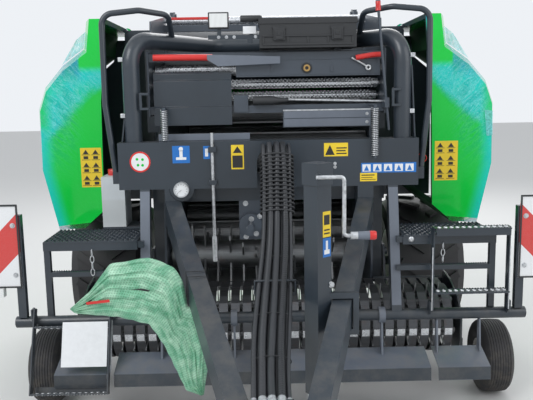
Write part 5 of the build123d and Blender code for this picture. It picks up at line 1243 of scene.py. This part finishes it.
# Dark walls that close the drives' space behind the doors
wall = [
    (0.712, 0.96), (1.13, 0.96), (1.13, 1.8), (1.015, 1.895), (0.985, 2.035), (0.64, 2.035),
    (0.64, 1.93), (0.712, 1.93), (0.712, 1.45), (0.64, 1.45), (0.64, 0.98), (0.712, 0.98),
]
right_wall = joined(
    prism(wall, 1, 0.966, 0.97),
    slabs(0.574, 0.579, (0.626, 0.862, 1.95, 2.045)),
    slabs(0.372, 0.376, (0.64, 0.712, 1.45, 2.0), (0.6262, 0.642, 1.9, 1.99)),
)
for side, shape in (("left", flipped(right_wall)), ("right", right_wall)):
    piece(f"side_wall_{side}", shape, "dark")

# Toolbox: ribs and latches; the bracket beside it
BOX_DEEP = BOX_FACE + 0.001
piece("toolbox_ribs", joined(
    slabs(BOX_FACE - 0.006, BOX_DEEP, (-0.02, 0.446, 1.955, 1.962)),
    slabs(
        BOX_FACE - 0.0045, BOX_DEEP, (-0.02, 0.446, 1.912, 1.922),
        *((x - 0.005, x + 0.005, 1.922, 1.955) for x in (-0.015, 0.11, 0.213, 0.316, 0.441)),
    ),
), "plastic", bevel=0.0015)
spans = [(x - 0.006, x + 0.006, 2.0495, 2.0535) for x in (0.02, 0.117, 0.213, 0.309, 0.406)]
piece("lid_ribs", slabs(-0.175, 0.0, *spans), "plastic", "toolbox_lid", bevel=0.0012)
latches, latch_bows = [], []
for x in (0.065, 0.361):
    latches.append(slabs(BOX_FACE - 0.011, BOX_DEEP, (x - 0.029, x + 0.029, 1.936, 2.0)))
    latches.append(slabs(BOX_FACE - 0.0165, BOX_FACE - 0.0105, (x - 0.02, x + 0.02, 1.942, 1.986)))
    latches.append(slabs(BOX_FACE - 0.008, BOX_DEEP, (x - 0.033, x + 0.033, 1.99, 2.006)))
    bends = ((x - 0.01, 1.976), (x - 0.01, 1.962), (x + 0.01, 1.962), (x + 0.01, 1.976))
    latch_bows.append(tube([(a, BOX_FACE - 0.0175, b) for a, b in bends], 0.0014, 8))
piece("toolbox_latches", joined(*latches), "plastic", bevel=0.0015)
piece("latch_bows", joined(*latch_bows), "plastic", smooth=50)
bars = ((-0.3, -0.0345, 1.95, 1.972), (-0.252, -0.232, 1.972, 2.012), (-0.086, -0.066, 1.972, 2.04))
piece("side_bracket", joined(
    slabs(BRACKET_Y, BRACKET_Y + 0.006, *bars),
    slabs(-0.151, -0.145, (-0.098, -0.07, 1.93, 1.951)),
), "dark", bevel=0.001)

# Deck chains and the ends of the transverse tube
CHAIN_Y = -0.4235
hangers = ((-0.893, 0.915, 0.784), (0.866, 0.918, 0.815))
chains = [chain((x, CHAIN_Y, top), (x, CHAIN_Y, low)) for x, top, low in hangers]
piece("deck_chains", joined(*chains), "zinc", smooth=50)
cap = [(0.0, 0.003), (0.024, 0.003), (0.0275, 0.0), (0.0275, -0.002)]
tube_ends = [lathe(cap, (sign * 1.29, -0.42, 0.547), (sign, 0, 0), 26) for _, sign in SIDES]
piece("tube_ends", joined(*tube_ends), "plastic")

# Pale worn faces on the pickup's bands where the crop rubs; a painted highlight down the fronts of the posts
REEL_AT = np.array((0.02, 0.385))
BAND_PITCH = 0.065
BAND_HALF = 0.0205
arc = np.radians(np.linspace(181.5, 193.5, 5))
rise = np.stack((np.cos(arc), np.sin(arc)), axis=1)
outline = np.vstack((REEL_AT + 0.1904 * rise, REEL_AT + 0.1916 * rise[::-1]))
middles = BAND_PITCH * np.arange(-15, 16)
worn = joined(*(prism(outline, 0, x - BAND_HALF, x + BAND_HALF) for x in middles))
piece("band_worn_faces", worn, "bright", "pickup")


def both_sides(outline, low, high):
    """An outline carried along X from low to high, on the left and on the right."""
    return joined(prism(outline, 0, -high, -low), prism(outline, 0, low, high))


# Painted highlight: a paler grey strip on the fronts of the dark posts, where they face the light
post_highlight_outline = [(-0.3015, 1.186), (-0.4325, 0.6), (-0.4338, 0.6), (-0.3028, 1.186)]
piece("post_painted_highlights", both_sides(post_highlight_outline, 0.611, 0.659), "guard", slot="dark_frame")

# Painted shade: a dark strip down the front lip of the wind guard and of the fixed guides beside it
shaded_lip_outline = [(-0.5678, 0.252), (-0.5622, 0.314), (-0.5606, 0.314), (-0.5662, 0.252)]
piece("guard_lip_painted_shade", prism(shaded_lip_outline, 0, -0.784, 0.784), "dark", "wind_guard")
piece("guide_lips_painted_shade", both_sides(shaded_lip_outline, 0.823, 1.079), "dark")

# Loose shipping film at the doors
NOTCH = ((1.012, 0.196, 2.03), (1.066, 0.196, 1.985), (1.152, 0.196, 1.85), (1.026, 0.196, 1.938))
TAG = ((1.205, 0.044, 1.56), (1.252, 0.044, 1.555), (1.256, 0.044, 1.42), (1.222, 0.044, 1.415))
FILMS = (
    # name, side, sign, corners on the right, flat size, folds, seed
    ("film_notch_right", "right", 1, NOTCH, (0.05, 0.16), 3, 5),
    ("film_notch_left", "left", -1, NOTCH, (0.05, 0.16), 3, 6),
    ("film_tag_right", "right", 1, TAG, (0.045, 0.14), 2, 7),
)
for name, side, sign, corners, flat, count, seed in FILMS:
    body = f"side_door_{side}"
    points, faces, film_uv = patch(np.array(corners) * (sign, 1.0, 1.0), 60, 40, count, 0.0016, seed)
    made = piece(name, (points, faces), "loose_film", body, smooth=80, uv=film_uv)

# Camera: ahead of the hitch, slightly left of the middle, at eye height
EYE = np.array((-0.05, -3.85, 1.68))
PITCH_DOWN = math.radians(8.8)
YAW_RIGHT = math.radians(0.573)
ROLL = math.radians(1.0)
FOCAL_PIXELS = 700.0
PHOTO_WIDTH = 533.0
forward = np.array((
    math.sin(YAW_RIGHT) * math.cos(PITCH_DOWN),
    math.cos(YAW_RIGHT) * math.cos(PITCH_DOWN),
    -math.sin(PITCH_DOWN),
))
level = np.array((math.cos(YAW_RIGHT), -math.sin(YAW_RIGHT), 0.0))
upward = np.cross(level, forward)
image_right = level * math.cos(ROLL) - upward * math.sin(ROLL)
image_up = level * math.sin(ROLL) + upward * math.cos(ROLL)
camera = bpy.data.objects.new("camera", bpy.data.cameras.new("camera"))
camera.data.sensor_width = 36.0
camera.data.lens = FOCAL_PIXELS / PHOTO_WIDTH * camera.data.sensor_width
camera.matrix_world = Matrix((
    (image_right[0], image_up[0], -forward[0], EYE[0]),
    (image_right[1], image_up[1], -forward[1], EYE[1]),
    (image_right[2], image_up[2], -forward[2], EYE[2]),
    (0.0, 0.0, 0.0, 1.0),
))
scene.collection.objects.link(camera)
scene.camera = camera

# Floor, world and lamps
scene.view_settings.view_transform = "Standard"
floor_shape = sheet_grid(np.stack(np.meshgrid(
    np.linspace(-30.0, 30.0, 3), np.linspace(-30.0, 30.0, 3), [-0.001], indexing="ij"
), axis=-1)[:, :, 0])
floor_mesh = bpy.data.meshes.new("floor")
floor_mesh.from_pydata(floor_shape[0].tolist(), [], floor_shape[1][0].tolist())
floor = bpy.data.objects.new("floor", floor_mesh)
scene.collection.objects.link(floor)
floor_finish = Finish("floor_pale")
floor_finish.set(Base_Color=(0.74, 0.74, 0.73), Roughness=0.85)
floor_mesh.materials.append(floor_finish.material)

world = bpy.data.worlds.new("world")
scene.world = world
world.use_nodes = True
sky = world.node_tree.nodes["Background"]
path = world.node_tree.nodes.new("ShaderNodeLightPath")
seen = path.outputs["Is Camera Ray"]
for ray in ("Is Glossy Ray", "Is Transmission Ray"):
    either = world.node_tree.nodes.new("ShaderNodeMath")
    either.operation = "MAXIMUM"
    world.node_tree.links.new(seen, either.inputs[0])
    world.node_tree.links.new(path.outputs[ray], either.inputs[1])
    seen = either.outputs[0]
strength = world.node_tree.nodes.new("ShaderNodeMapRange")
strength.inputs["To Min"].default_value = 0.7
strength.inputs["To Max"].default_value = 0.92
world.node_tree.links.new(seen, strength.inputs["Value"])
world.node_tree.links.new(strength.outputs[0], sky.inputs["Strength"])
sky.inputs["Color"].default_value = (0.93, 0.96, 1.0, 1.0)

LAMPS = (
    # name, place, target, size, power
    ("key", (-4.0, -5.0, 6.5), (0.0, 0.0, 1.0), 4.0, 300.0),
    ("fill", (5.0, -4.0, 4.0), (0.0, 0.0, 1.0), 5.0, 130.0),
    ("back", (1.0, 6.0, 5.0), (0.0, 1.0, 1.0), 4.0, 180.0),
)
for name, place, target, size, power in LAMPS:
    lamp = bpy.data.objects.new(name, bpy.data.lights.new(name, "AREA"))
    lamp.data.size = size
    lamp.data.energy = power
    lamp.location = place
    lamp.rotation_euler = (Vector(target) - Vector(place)).to_track_quat("-Z", "Y").to_euler()
    scene.collection.objects.link(lamp)
